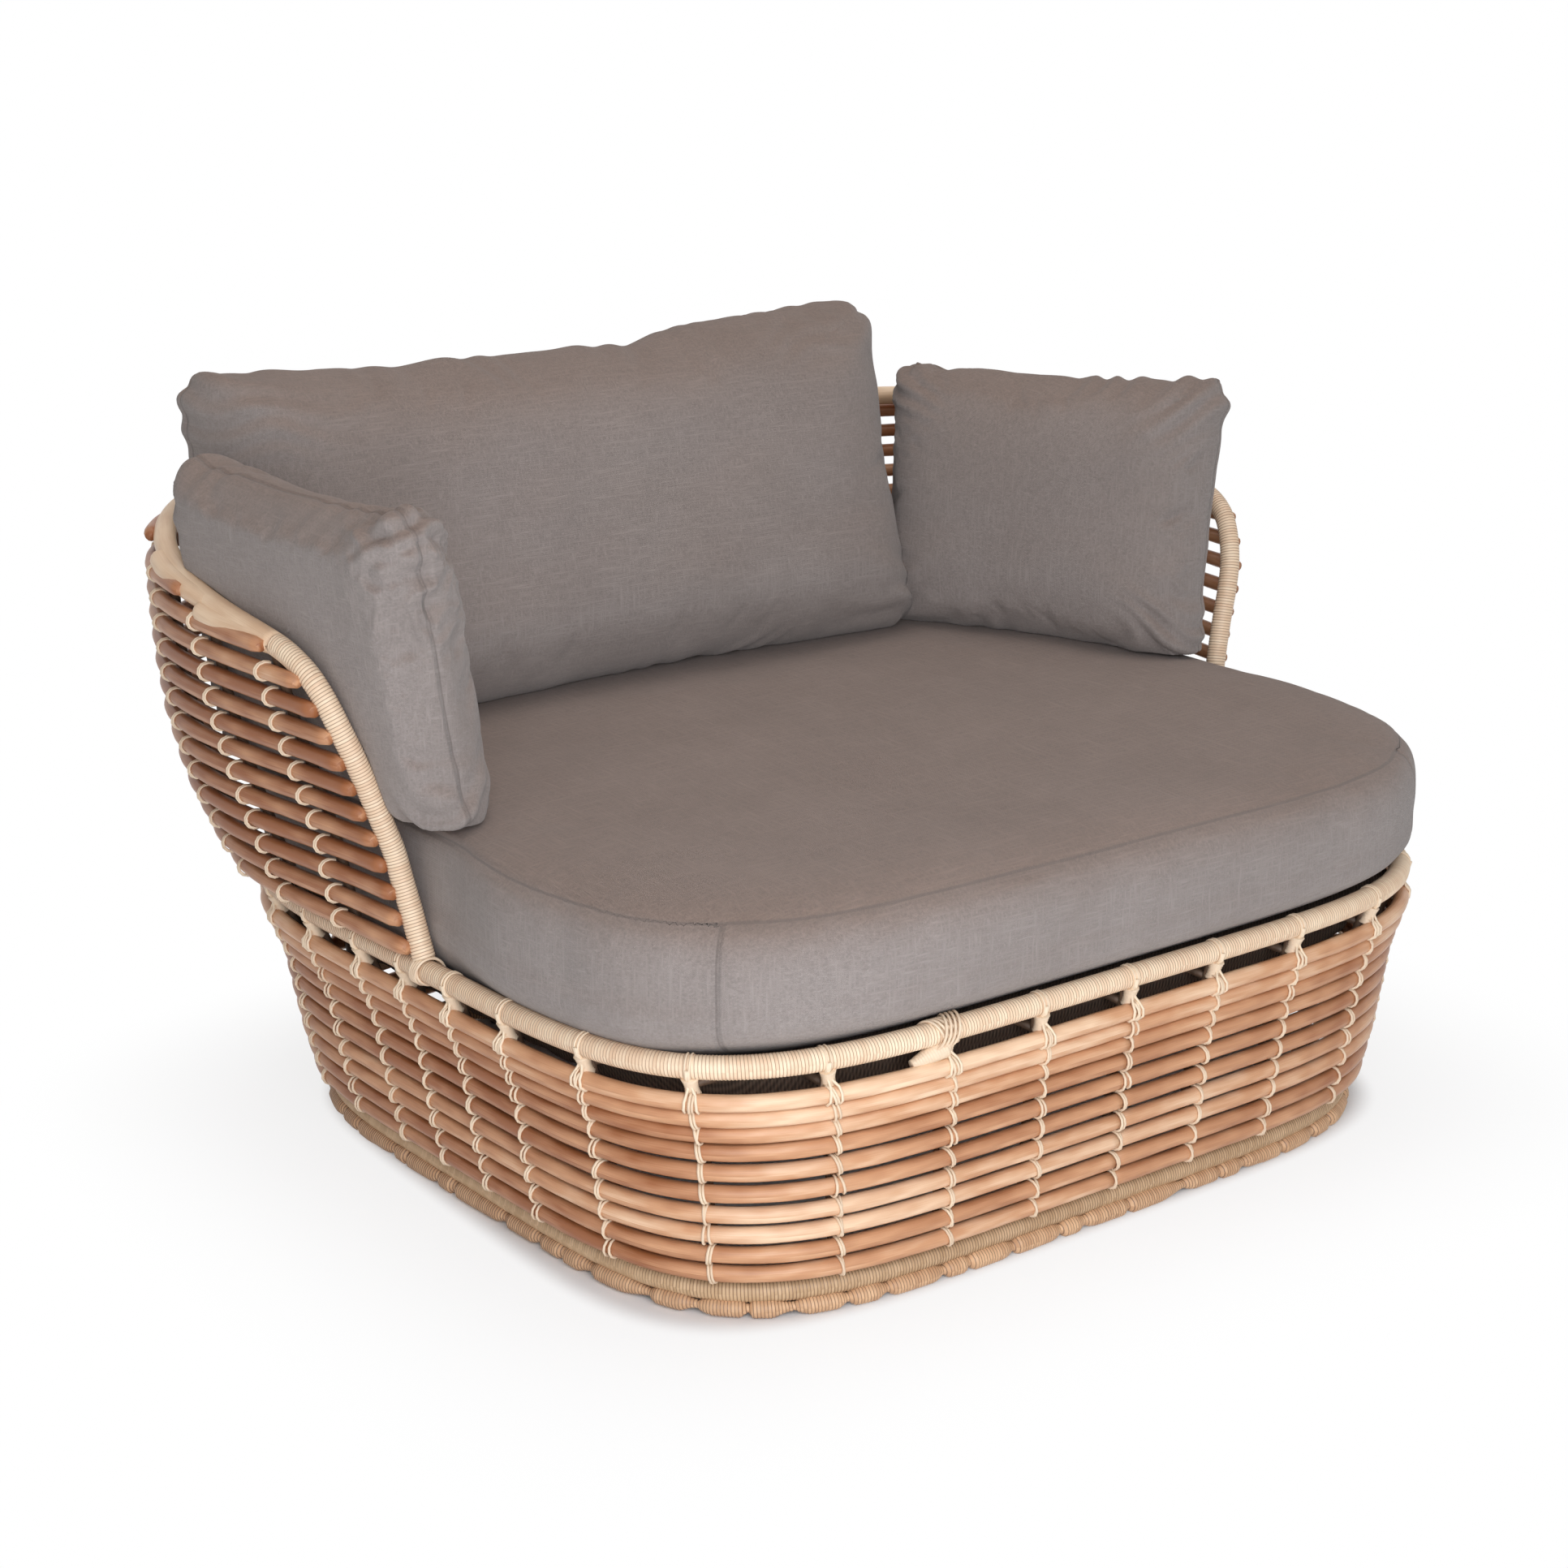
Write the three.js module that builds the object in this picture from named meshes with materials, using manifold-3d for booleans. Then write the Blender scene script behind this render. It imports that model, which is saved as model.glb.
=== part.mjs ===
// Outdoor basket armchair: a welded tube frame, hooped with cane rods, and four loose cushions.
// Millimetres, +Z up, the sitter faces -Y. The origin is the middle of the footprint, on the ground.
// Left and right are as seen from the front: the left is -X.
import * as THREE from 'three';
import { mergeVertices } from 'three/addons/utils/BufferGeometryUtils.js';
import Module from 'manifold-3d';

const wasm = await Module();
wasm.setup();

// Clearance between pieces that touch
const fitGap = 0.3;

// Seat rim: the wrapped tube that carries everything, a rounded rectangle in plan
const rimZ = 284;
const rimRadius = 12;
const rimHalfWidth = 562;
const rimDepth = 460;
const frontFullness = 5;
const backFullness = 4.7;
const splayShare = 0.06;

// Base: the rim's plan drawn in towards the ground
const ringZ = 27;
const ringRadius = 12;
const baseSideInset = 61;
const baseFrontInset = 33;
const baseBackInset = 42;
const baseRiseShares = [0, 0.3, 0.7, 1];
const baseSpreadShares = [0, 0.28, 0.54, 1];

// Skid: the rod bound under the base ring, set outside the glides
const skidRadius = 6.5;
const skidOutset = 7;

// Basket wall above the rim: how far it flares out at the height of the top rail
const topRailZ = 682;
const sideFlare = 78;
const backFlare = 118;
const topFullness = 3.7;
const rearTurnShare = 0.7;
const flareRiseShares = [0, 0.15, 0.3, 0.47, 0.62, 0.78, 1];
const armFlareShares = [0, 0.02, 0.1, 0.35, 0.6, 0.8, 1];
const backFlareShares = [0, 0.36, 0.62, 0.79, 0.88, 0.94, 1];

// Arm and back rail: share of the way from mid side to mid back, and share of the wall's height
const railRadius = 12;
const rodEndGap = 3;
const firstRibShare = 0.05;
const railShares = [
  [-0.0535, 0.03], [-0.043, 0.09], [-0.029, 0.18], [-0.019, 0.27], [-0.012, 0.37], [-0.007, 0.46], [-0.003, 0.54],
  [0.004, 0.62], [0.0155, 0.695], [0.031, 0.752], [0.058, 0.794], [0.095, 0.817], [0.144, 0.837], [0.19, 0.858],
  [0.24, 0.888], [0.3, 0.922], [0.38, 0.958], [0.47, 0.986], [0.58, 1], [1, 1],
];

// Ribs: upright tubes under the rim, and above it as far as the rail
const ribRadius = 5.5;
const frontRibsEachSide = 3;
const ribShares = [
  0, 0.065, 0.13, 0.2015, 0.271, 0.333, 0.395, 0.446, 0.4925,
  0.539, 0.594, 0.645, 0.696, 0.748, 0.8, 0.867, 0.933, 1,
];
const crossBarRadius = 4.5;
const crossBarDrop = 8;

// Cane rods that lie against the outside of the ribs
const rodRadius = 8.6;
const baseRodRise = 28;
const baseRodSpan = 195;
const baseRodShares = [0, 0.115, 0.235, 0.35, 0.47, 0.59, 0.705, 0.81, 0.905, 1];
const wallRods = 14;
const wallRodRise = 24;
const wallRodPitch = 27;

// Seat deck: a lattice panel on the cross bars
const deckThickness = 6;
const deckEdge = 36;
const deckHoleWidth = 70;
const deckHoleDepth = 60;
const deckStrap = 34;

// Glides under the base ring
const glideRadius = 14;
const glideInset = 15;
const glideShares = [0.14, 0.5, 0.86];

// Seat cushion
const seatThickness = 160;
const seatCrown = 6;
const seatFootInset = 62;
const seatProud = 16;
const seatRearInset = 18;
const seatRowShares = [
  [0, 0], [0.08, 0.08], [0.15, 0.36], [0.22, 0.68], [0.34, 0.9], [0.58, 1], [0.8, 0.93], [0.93, 0.73], [1, 0.5],
];
const crownRowShares = [[0.93, 0.6], [0.8, 1]];
const seatEaseShares = [-0.42, -0.06];

// Back cushion: it reaches past the rim on the left and leaves room for the pillow on the right
const backRoom = 204;
const backOverhang = 10;
const backHeight = 410;
const backThickness = 185;
const backInset = 68;
const backLeanDegrees = 14;
const backTiltDegrees = -0.8;

// Arm cushions: the left lies along the side wall, the right stands across the rear corner
const armWidth = 415;
const armHeight = 346;
const armThickness = 136;
const leftArmInset = 19;
const leftRearRoom = 64.3;
const leftTurnDegrees = 95;
const leftSitShare = 0.47;
const rightArmInset = 92;
const rightRearRoom = 7.9;
const rightTurnDegrees = -65;
const armLeanDegrees = 9;

// Pillow form: how its edges draw in between the corners and how full it is
const pillowDrawShare = 0.035;
const pillowFrontShare = 0.57;
const pillowColumns = 14;
const pillowRows = 10;
const pillowSitShare = 0.05;
const pillowSeam = 5;
const pillowFullness = 2.6;
const pillowEdgePower = 0.62;

// Sides of the round sections
const tubeSides = 8;
const rodSides = 6;
const glideSides = 12;

const finishes = {
  wrap: { color: 0xdcc09a, roughness: 0.62, metalness: 0 },
  cane: { color: 0xcc9263, roughness: 0.5, metalness: 0 },
  frame: { color: 0x6e5a48, roughness: 0.55, metalness: 0.3 },
  strap: { color: 0xb89b78, roughness: 0.7, metalness: 0 },
  fabric: { color: 0x8b8178, roughness: 0.95, metalness: 0 },
  glide: { color: 0x2d2b29, roughness: 0.6, metalness: 0 },
};
const materials = {};
for (const [name, finish] of Object.entries(finishes)) {
  materials[name] = new THREE.MeshStandardMaterial(finish);
}

function piece(name, geometry, material) {
  const mesh = new THREE.Mesh(geometry, materials[material]);
  mesh.name = name;
  return mesh;
}

// Value of a table of shares at a place, straight between its entries
function shareAt(places, values, place) {
  const last = places.length - 1;
  const held = Math.min(Math.max(place, places[0]), places[last]);
  const next = Math.max(1, places.findIndex((entry) => entry >= held));
  const along = (held - places[next - 1]) / (places[next] - places[next - 1]);
  return values[next - 1] + along * (values[next] - values[next - 1]);
}

// Wall of the basket: its half width, depth and fullness at each height and each turn to the back
function wallSize(z, along) {
  if (z <= rimZ) {
    const drawn = 1 - shareAt(baseRiseShares, baseSpreadShares, (z - ringZ) / (rimZ - ringZ));
    return {
      halfWidth: rimHalfWidth - baseSideInset * drawn,
      front: rimDepth - baseFrontInset * drawn,
      back: rimDepth - baseBackInset * drawn,
      fullness: backFullness,
    };
  }
  const rise = (z - rimZ) / (topRailZ - rimZ);
  const armShare = shareAt(flareRiseShares, armFlareShares, rise);
  const backShare = shareAt(flareRiseShares, backFlareShares, rise);
  const rear = THREE.MathUtils.smoothstep(along, 0, rearTurnShare);
  return {
    halfWidth: rimHalfWidth + sideFlare * THREE.MathUtils.lerp(armShare, backShare, rear),
    front: rimDepth,
    back: rimDepth + backFlare * backShare,
    fullness: THREE.MathUtils.lerp(backFullness, topFullness, rise),
  };
}

// Point of the wall's middle line: angle 0 is the right side, a quarter turn on is the back
function wallPoint(angle, z) {
  const across = Math.cos(angle);
  const along = Math.sin(angle);
  const size = wallSize(z, along);
  const fullness = along < 0 ? frontFullness : size.fullness;
  const reach = (Math.abs(across) ** fullness + Math.abs(along) ** fullness) ** (-1 / fullness);
  const y = reach * along * (along < 0 ? size.front : size.back);
  const x = reach * across * size.halfWidth * (1 + splayShare * y / rimDepth);
  return new THREE.Vector3(x, y, z);
}

// Level direction that points out of the wall, and the wall's lean there as a slope
const nudge = 1e-4;
const nudgeRise = rimZ * nudge;
function wallOutward(angle, z) {
  const run = wallPoint(angle + nudge, z).sub(wallPoint(angle - nudge, z));
  return new THREE.Vector3(run.y, -run.x, 0).normalize();
}
function wallSlope(angle, z) {
  const rise = wallPoint(angle, z + nudgeRise).sub(wallPoint(angle, z - nudgeRise));
  return rise.dot(wallOutward(angle, z)) / (nudgeRise + nudgeRise);
}
function outsideWall(angle, z, distance) {
  const offset = distance * Math.hypot(1, wallSlope(angle, z));
  return wallPoint(angle, z).addScaledVector(wallOutward(angle, z), offset);
}

// Angles at even lengths of the rim, from the middle of the front round the right side to the back
const arcSteps = 2000;
const arcAngles = [];
const arcLengths = [];
for (let step = 0; step <= arcSteps; step += 1) {
  const angle = Math.PI * (step / arcSteps - 0.5);
  const before = step ? wallPoint(arcAngles[step - 1], rimZ) : null;
  arcLengths.push(before ? arcLengths[step - 1] + before.distanceTo(wallPoint(angle, rimZ)) : 0);
  arcAngles.push(angle);
}
const halfRound = arcLengths[arcSteps];
const angleAtLength = (length) => shareAt(arcLengths, arcAngles, length);
const mirrored = (angle) => Math.PI - angle;

// Rib stations on the right half, at shares of the way round: front ones, side ones, then back ones
const rightAngles = ribShares.map((share) => angleAtLength(share * halfRound));
const frontAngles = rightAngles.slice(0, frontRibsEachSide + 1);
const sideAngles = rightAngles.slice(frontRibsEachSide + 1, -frontRibsEachSide - 1);
const backAngles = rightAngles.slice(-frontRibsEachSide - 1);
const leftAngles = rightAngles.slice(1, -1).map(mirrored).reverse();
const stationAngles = [...rightAngles, ...leftAngles];

// The same round with one more point where the plan turns hardest between two stations
const turnLimit = Math.PI / 14;
const fineAngles = [];
stationAngles.forEach((angle, index) => {
  const closing = index + 1 === stationAngles.length;
  const next = closing ? stationAngles[0] + 2 * Math.PI : stationAngles[index + 1];
  fineAngles.push(angle);
  if (wallOutward(angle, rimZ).angleTo(wallOutward(next, rimZ)) > turnLimit) {
    fineAngles.push((angle + next) / 2);
  }
});

// Path that turns only at its points, with guides that say which way its section faces
class GuidedPath extends THREE.Curve {
  constructor(points, guides, { closed = false, levelEnds = false } = {}) {
    super();
    this.points = closed ? [...points, points[0]] : points;
    this.guides = closed ? [...guides, guides[0]] : guides;
    this.closed = closed;
    this.levelEnds = levelEnds;
  }

  getPointAt(share, target = new THREE.Vector3()) {
    return target.copy(this.points[Math.round(share * (this.points.length - 1))]);
  }

  getPoint(share, target) {
    return this.getPointAt(share, target);
  }

  // Mean direction of the two runs that meet at a point
  direction(index) {
    const last = this.points.length - 1;
    const atEnd = index === 0 || index === last;
    if (this.levelEnds && atEnd) {
      return new THREE.Vector3(0, 0, 1);
    }
    const wrap = this.closed && atEnd;
    const before = this.points[wrap ? last - 1 : Math.max(index - 1, 0)];
    const after = this.points[wrap ? 1 : Math.min(index + 1, last)];
    const arriving = this.points[index].clone().sub(before).normalize();
    const leaving = after.clone().sub(this.points[index]).normalize();
    return arriving.add(leaving).normalize();
  }

  computeFrenetFrames() {
    const frames = { tangents: [], normals: [], binormals: [] };
    this.points.forEach((point, index) => {
      const tangent = this.direction(index);
      const normal = this.guides[index].clone().addScaledVector(tangent, -this.guides[index].dot(tangent));
      normal.normalize();
      frames.tangents.push(tangent);
      frames.normals.push(normal);
      frames.binormals.push(new THREE.Vector3().crossVectors(tangent, normal));
    });
    return frames;
  }
}

// Section with one corner on its first axis, so that tubes that touch do so at their corners
function roundSection(radius, sides) {
  const corners = [];
  for (let side = 0; side < sides; side += 1) {
    const turn = 2 * Math.PI * side / sides;
    corners.push(new THREE.Vector2(radius * Math.cos(turn), radius * Math.sin(turn)));
  }
  return new THREE.Shape(corners);
}

function bareGeometry(geometry) {
  geometry.deleteAttribute('normal');
  geometry.deleteAttribute('uv');
  return mergeVertices(geometry, fitGap * nudge);
}

// Tube through the path's points; a closed one drops the two lids that meet inside it
function tube(path, radius, sides) {
  const steps = path.points.length - 1;
  const section = roundSection(radius, sides);
  const geometry = new THREE.ExtrudeGeometry(section, { steps, extrudePath: path, bevelEnabled: false });
  if (path.closed) {
    const lids = geometry.groups[0].count;
    const walls = geometry.getAttribute('position').array.slice(3 * lids);
    geometry.setAttribute('position', new THREE.BufferAttribute(walls, 3));
  }
  return bareGeometry(geometry);
}

function ringTube(angles, z, distance, radius, sides) {
  const points = angles.map((angle) => outsideWall(angle, z, distance));
  const guides = angles.map((angle) => wallOutward(angle, z).negate());
  return tube(new GuidedPath(points, guides, { closed: true }), radius, sides);
}

function asSolid(geometry) {
  const mesh = new wasm.Mesh({
    numProp: 3,
    vertProperties: Float32Array.from(geometry.getAttribute('position').array),
    triVerts: Uint32Array.from(geometry.index.array),
  });
  return new wasm.Manifold(mesh);
}

function asGeometry(solid) {
  const mesh = solid.getMesh();
  const geometry = new THREE.BufferGeometry();
  geometry.setAttribute('position', new THREE.BufferAttribute(mesh.vertProperties, 3));
  geometry.setIndex(new THREE.BufferAttribute(mesh.triVerts, 1));
  return geometry;
}

function weld(geometries) {
  return asGeometry(geometries.map(asSolid).reduce((whole, next) => whole.add(next)));
}

function cutOut(geometry, cutters) {
  return asGeometry(cutters.map(asSolid).reduce((whole, next) => whole.subtract(next), asSolid(geometry)));
}

// Base: seat rim, base ring and skid
const ringTopZ = ringZ + ringRadius;
const skidZ = ringZ - Math.sqrt((ringRadius + skidRadius + fitGap) ** 2 - skidOutset ** 2);
const base = new THREE.Group();
base.add(piece('seat_rim', ringTube(fineAngles, rimZ, 0, rimRadius, tubeSides), 'wrap'));
base.add(piece('base_ring', ringTube(fineAngles, ringZ, 0, ringRadius, tubeSides), 'wrap'));
base.add(piece('skid_ring', ringTube(fineAngles, skidZ, skidOutset, skidRadius, rodSides), 'cane'));

// Rods round the base, closer together towards the rim
const rodStandoff = ribRadius + rodRadius + fitGap;
baseRodShares.forEach((share, index) => {
  const z = ringZ + baseRodRise + baseRodSpan * share;
  const name = `base_rod_${String(index + 1).padStart(2, '0')}`;
  base.add(piece(name, ringTube(stationAngles, z, rodStandoff, rodRadius, rodSides), 'cane'));
});

// Rib hoops: two ribs under the rim, tied by a cross bar that carries the deck
const ribTopZ = rimZ - rimRadius - fitGap;
const ribFootZ = ringTopZ + fitGap;
const upperBarZ = ribTopZ - crossBarDrop;
const lowerBarZ = upperBarZ - crossBarRadius - crossBarRadius - fitGap;

function ribPath(angle, heights) {
  const points = heights.map((z) => wallPoint(angle, z));
  return new GuidedPath(points, heights.map((z) => wallOutward(angle, z)), { levelEnds: true });
}

function baseRib(angle) {
  const kinks = baseRiseShares.slice(1, -1).map((share) => ringZ + share * (rimZ - ringZ));
  return tube(ribPath(angle, [ribFootZ, ...kinks, ribTopZ]), ribRadius, rodSides);
}

function ribHoop(oneAngle, otherAngle, barZ) {
  const ends = [wallPoint(oneAngle, barZ), wallPoint(otherAngle, barZ)];
  const up = new THREE.Vector3(0, 0, 1);
  const bar = tube(new GuidedPath(ends, [up, up]), crossBarRadius, rodSides);
  return weld([baseRib(oneAngle), baseRib(otherAngle), bar]);
}

sideAngles.forEach((angle, index) => {
  const name = `side_hoop_${String(index + 1).padStart(2, '0')}`;
  base.add(piece(name, ribHoop(angle, mirrored(angle), upperBarZ), 'frame'));
});
const longAngles = [...frontAngles.slice(1).map(mirrored).reverse(), ...frontAngles];
longAngles.forEach((angle, index) => {
  const name = `long_hoop_${String(index + 1).padStart(2, '0')}`;
  const across = wallPoint(angle, rimZ).x;
  const rear = rearAngleAt(across);
  base.add(piece(name, ribHoop(angle, rear, lowerBarZ), 'frame'));
});

// Rear station that stands behind a front one
function rearAngleAt(across) {
  const rears = [...backAngles, ...backAngles.map(mirrored)];
  const distance = (angle) => Math.abs(wallPoint(angle, rimZ).x - across);
  return rears.reduce((best, angle) => (distance(angle) < distance(best) ? angle : best));
}

// Deck: a lattice panel inside the rim, resting on the upper cross bars
const deckZ = upperBarZ + crossBarRadius + fitGap;
const deckTopZ = deckZ + deckThickness;
function deckPanel() {
  const inside = -rimRadius - fitGap;
  const outline = fineAngles.map((angle) => outsideWall(angle, rimZ, inside));
  const panel = new THREE.Shape(outline.map((point) => new THREE.Vector2(point.x, point.y)));
  const columnPitch = deckHoleWidth + deckStrap;
  const rowPitch = deckHoleDepth + deckStrap;
  const columns = Math.floor((rimHalfWidth - deckEdge - deckHoleWidth / 2) / columnPitch);
  const rows = Math.floor((rimDepth - deckEdge - deckHoleDepth / 2) / rowPitch);
  const holes = [];
  for (let column = -columns; column <= columns; column += 1) {
    for (let row = -rows; row <= rows; row += 1) {
      const x = column * columnPitch;
      const y = row * rowPitch;
      if (clearOfEdge(Math.abs(x) + deckHoleWidth / 2, Math.abs(y) + deckHoleDepth / 2)) {
        const hole = new THREE.BoxGeometry(deckHoleWidth, deckHoleDepth, deckThickness + deckThickness);
        holes.push(bareGeometry(hole.translate(x, y, deckThickness / 2)));
      }
    }
  }
  const plate = new THREE.ExtrudeGeometry(panel, { depth: deckThickness, bevelEnabled: false });
  return cutOut(bareGeometry(plate), holes).translate(0, 0, deckZ);
}

// Whether a hole's outer corner leaves the deck's edge band whole
function clearOfEdge(x, y) {
  const edgeSpan = rimRadius + deckEdge;
  const across = x / ((rimHalfWidth - edgeSpan) * (1 - splayShare * y / rimDepth));
  const along = y / (rimDepth - edgeSpan);
  return across ** backFullness + along ** backFullness < 1;
}
base.add(piece('seat_deck', deckPanel(), 'strap'));

// Glides: round feet half under the base ring
const glideHeight = ringZ - ringRadius - fitGap;
glideShares.forEach((share, index) => {
  const angle = angleAtLength(share * halfRound);
  for (const [side, placed] of [['right', angle], ['left', mirrored(angle)]]) {
    const glide = new THREE.CylinderGeometry(glideRadius, glideRadius, glideHeight, glideSides);
    glide.rotateX(Math.PI / 2);
    const centre = wallPoint(placed, ringZ).addScaledVector(wallOutward(placed, ringZ), -glideInset);
    glide.translate(centre.x, centre.y, glideHeight / 2);
    base.add(piece(`glide_${side}_${index + 1}`, bareGeometry(glide), 'glide'));
  }
});

// Arm and back rail with its ribs, one welded frame that stands on the rim
const sideLength = halfRound / 2;
const wallHeight = topRailZ - rimZ;
const wallFootZ = rimZ + rimRadius + fitGap;
const railPlaces = railShares.map(([place]) => place);
const railRises = railShares.map(([, rise]) => rise);
const railAngle = (place) => angleAtLength(sideLength + place * sideLength);
const railZ = (rise) => Math.max(wallFootZ, rimZ + wallHeight * Math.min(rise, 1));
const railHeight = (place) => railZ(shareAt(railPlaces, railRises, place));

function railPoints() {
  const curve = new THREE.SplineCurve(railShares.map(([place, rise]) => new THREE.Vector2(place, rise)));
  const steps = 2 * (railShares.length - 1);
  return curve.getPoints(steps).map(({ x, y }) => ({ angle: railAngle(Math.min(x, 1)), z: railZ(y) }));
}

const back = new THREE.Group();
const halfRail = railPoints();
const railSpots = [...halfRail, ...halfRail.slice(0, -1).reverse().map(({ angle, z }) => (
  { angle: mirrored(angle), z }))];
const railLine = railSpots.map(({ angle, z }) => wallPoint(angle, z));
const railGuides = railSpots.map(({ angle, z }) => wallOutward(angle, z));
const railTube = tube(new GuidedPath(railLine, railGuides, { levelEnds: true }), railRadius, tubeSides);

function lengthShare(angle) {
  const length = shareAt(arcAngles, arcLengths, angle);
  return (length - sideLength) / sideLength;
}

const wallAngles = rightAngles.filter((angle) => lengthShare(angle) > firstRibShare);
function wallRib(angle) {
  const top = railHeight(lengthShare(angle > Math.PI / 2 ? mirrored(angle) : angle));
  const kinks = flareRiseShares.slice(1, -1).map((share) => rimZ + share * wallHeight);
  const heights = [wallFootZ, ...kinks.filter((z) => z < top - railRadius), top];
  return tube(ribPath(angle, heights), ribRadius, rodSides);
}
const allWallAngles = [...wallAngles, ...wallAngles.slice(0, -1).map(mirrored).reverse()];
back.add(piece('back_frame', weld([railTube, ...allWallAngles.map(wallRib)]), 'wrap'));

// Rods round the sides and back, each ending against the rail
const railReach = railRadius + rodRadius + rodEndGap;
function clearOfRail(point) {
  const nearest = new THREE.Vector3();
  return railLine.slice(1).every((end, index) => {
    new THREE.Line3(railLine[index], end).closestPointToPoint(point, true, nearest);
    return nearest.distanceTo(point) >= railReach;
  });
}

function rodStart(z) {
  const searchSteps = 400;
  for (let step = 0; step < searchSteps; step += 1) {
    const place = THREE.MathUtils.lerp(railPlaces[0], 1, step / searchSteps);
    const angle = railAngle(place);
    if (railHeight(place) > z && clearOfRail(outsideWall(angle, z, rodStandoff))) {
      return angle;
    }
  }
  return Math.PI / 2;
}

for (let index = 0; index < wallRods; index += 1) {
  const z = rimZ + wallRodRise + wallRodPitch * index;
  const start = rodStart(z);
  const half = [start, ...rightAngles.filter((angle) => angle > start + ribRadius / rimHalfWidth)];
  const angles = [...half, ...half.slice(0, -1).map(mirrored).reverse()];
  const points = angles.map((angle) => outsideWall(angle, z, rodStandoff));
  const guides = angles.map((angle) => wallOutward(angle, z).negate());
  const name = `wall_rod_${String(index + 1).padStart(2, '0')}`;
  back.add(piece(name, tube(new GuidedPath(points, guides), rodRadius, rodSides), 'cane'));
}

// Solid from closed rows of points, the first and last closed by a fan
function loftRows(rows) {
  const round = rows[0].length;
  const points = rows.flat();
  const ends = [rows[0], rows[rows.length - 1]].map((row) => (
    row.reduce((sum, point) => sum.add(point), new THREE.Vector3()).divideScalar(round)));
  const faces = [];
  for (let row = 0; row + 1 < rows.length; row += 1) {
    for (let index = 0; index < round; index += 1) {
      const next = (index + 1) % round;
      const [a, b] = [row * round + index, row * round + next];
      faces.push(a, b, b + round, a, b + round, a + round);
    }
  }
  const lastRow = (rows.length - 1) * round;
  for (let index = 0; index < round; index += 1) {
    const next = (index + 1) % round;
    faces.push(points.length, next, index, points.length + 1, lastRow + index, lastRow + next);
  }
  const geometry = new THREE.BufferGeometry().setFromPoints([...points, ...ends]);
  geometry.setIndex(faces);
  return geometry;
}

// Seat cushion: boxed sides drawn in at the foot, a rolled top edge and a low crown
const seatFootZ = deckTopZ + fitGap;
const seatSeamZ = seatFootZ + seatThickness - seatCrown;
const seatTopZ = seatSeamZ + seatCrown;
function seatOffset(angle) {
  const y = wallPoint(angle, rimZ).y / rimDepth;
  const ease = THREE.MathUtils.smoothstep(y, seatEaseShares[0], seatEaseShares[1]);
  return THREE.MathUtils.lerp(seatProud, -seatRearInset, ease);
}
function seatOutline(spread, z, scale = 1) {
  return fineAngles.map((angle) => {
    const offset = THREE.MathUtils.lerp(-seatFootInset, seatOffset(angle), spread);
    const point = wallPoint(angle, rimZ).addScaledVector(wallOutward(angle, rimZ), offset);
    return new THREE.Vector3(point.x * scale, point.y * scale, z);
  });
}
const seatRows = seatRowShares.map(([rise, spread]) => (
  seatOutline(spread, THREE.MathUtils.lerp(seatFootZ, seatSeamZ, rise))));
const seamSpread = seatRowShares[seatRowShares.length - 1][1];
const crownRows = crownRowShares.map(([scale, rise]) => (
  seatOutline(seamSpread, THREE.MathUtils.lerp(seatSeamZ, seatTopZ, rise), scale)));
const cushions = new THREE.Group();
cushions.add(piece('seat_cushion', loftRows([...seatRows, ...crownRows]), 'fabric'));

// Pillow: two crowned faces that meet in a seam, its edges drawn in between the corners
function pillow(width, height, thickness) {
  const rows = [];
  const fullShare = (share) => (1 - Math.abs(share) ** pillowFullness) ** pillowEdgePower;
  for (let row = 0; row <= pillowRows; row += 1) {
    const up = Math.sin(Math.PI * (row / pillowRows - 0.5));
    const edge = 1 - pillowDrawShare * (1 - up ** 2);
    const loop = [];
    for (let column = 0; column < 2 * pillowColumns; column += 1) {
      const turn = Math.PI * column / pillowColumns;
      const across = Math.cos(turn);
      const fall = 1 - 2 * pillowDrawShare * (1 - across ** 2);
      const side = Math.sign(Math.sin(turn)) * Number(column % pillowColumns > 0);
      const facing = side < 0 ? pillowFrontShare : 1 - pillowFrontShare;
      const swell = (thickness - pillowSeam) * facing * fullShare(across) * fullShare(up);
      const depth = side * (pillowSeam / 2 + swell);
      loop.push(new THREE.Vector3(width / 2 * across * edge, depth, height / 2 * up * fall));
    }
    rows.push(loop);
  }
  return rows;
}

// Places a pillow on the seat: leant, turned and flattened where it sits
function placedPillow(size, place) {
  const lean = new THREE.Matrix4().makeRotationX(-THREE.MathUtils.degToRad(place.lean));
  const tilt = new THREE.Matrix4().makeRotationY(THREE.MathUtils.degToRad(place.tilt));
  const turn = new THREE.Matrix4().makeRotationZ(THREE.MathUtils.degToRad(place.turn));
  const pose = turn.multiply(lean).multiply(tilt);
  const floorZ = seatTopZ + fitGap - seatCrown * place.sitShare;
  const middleZ = floorZ + size.height * (0.5 - pillowSitShare);
  const rows = pillow(size.width, size.height, size.thickness).map((row) => row.map((point) => {
    const placed = point.applyMatrix4(pose).add(new THREE.Vector3(place.x, place.y, middleZ));
    placed.z = Math.max(placed.z, floorZ);
    return placed;
  }));
  return loftRows(rows);
}

const backWidth = 2 * rimHalfWidth - backRoom;
const backSize = { width: backWidth, height: backHeight, thickness: backThickness };
const backPlace = {
  x: backWidth / 2 - rimHalfWidth - backOverhang,
  y: rimDepth - backInset,
  lean: backLeanDegrees,
  tilt: backTiltDegrees,
  turn: 0,
  sitShare: 0,
};
cushions.add(piece('back_cushion', placedPillow(backSize, backPlace), 'fabric'));

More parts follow.
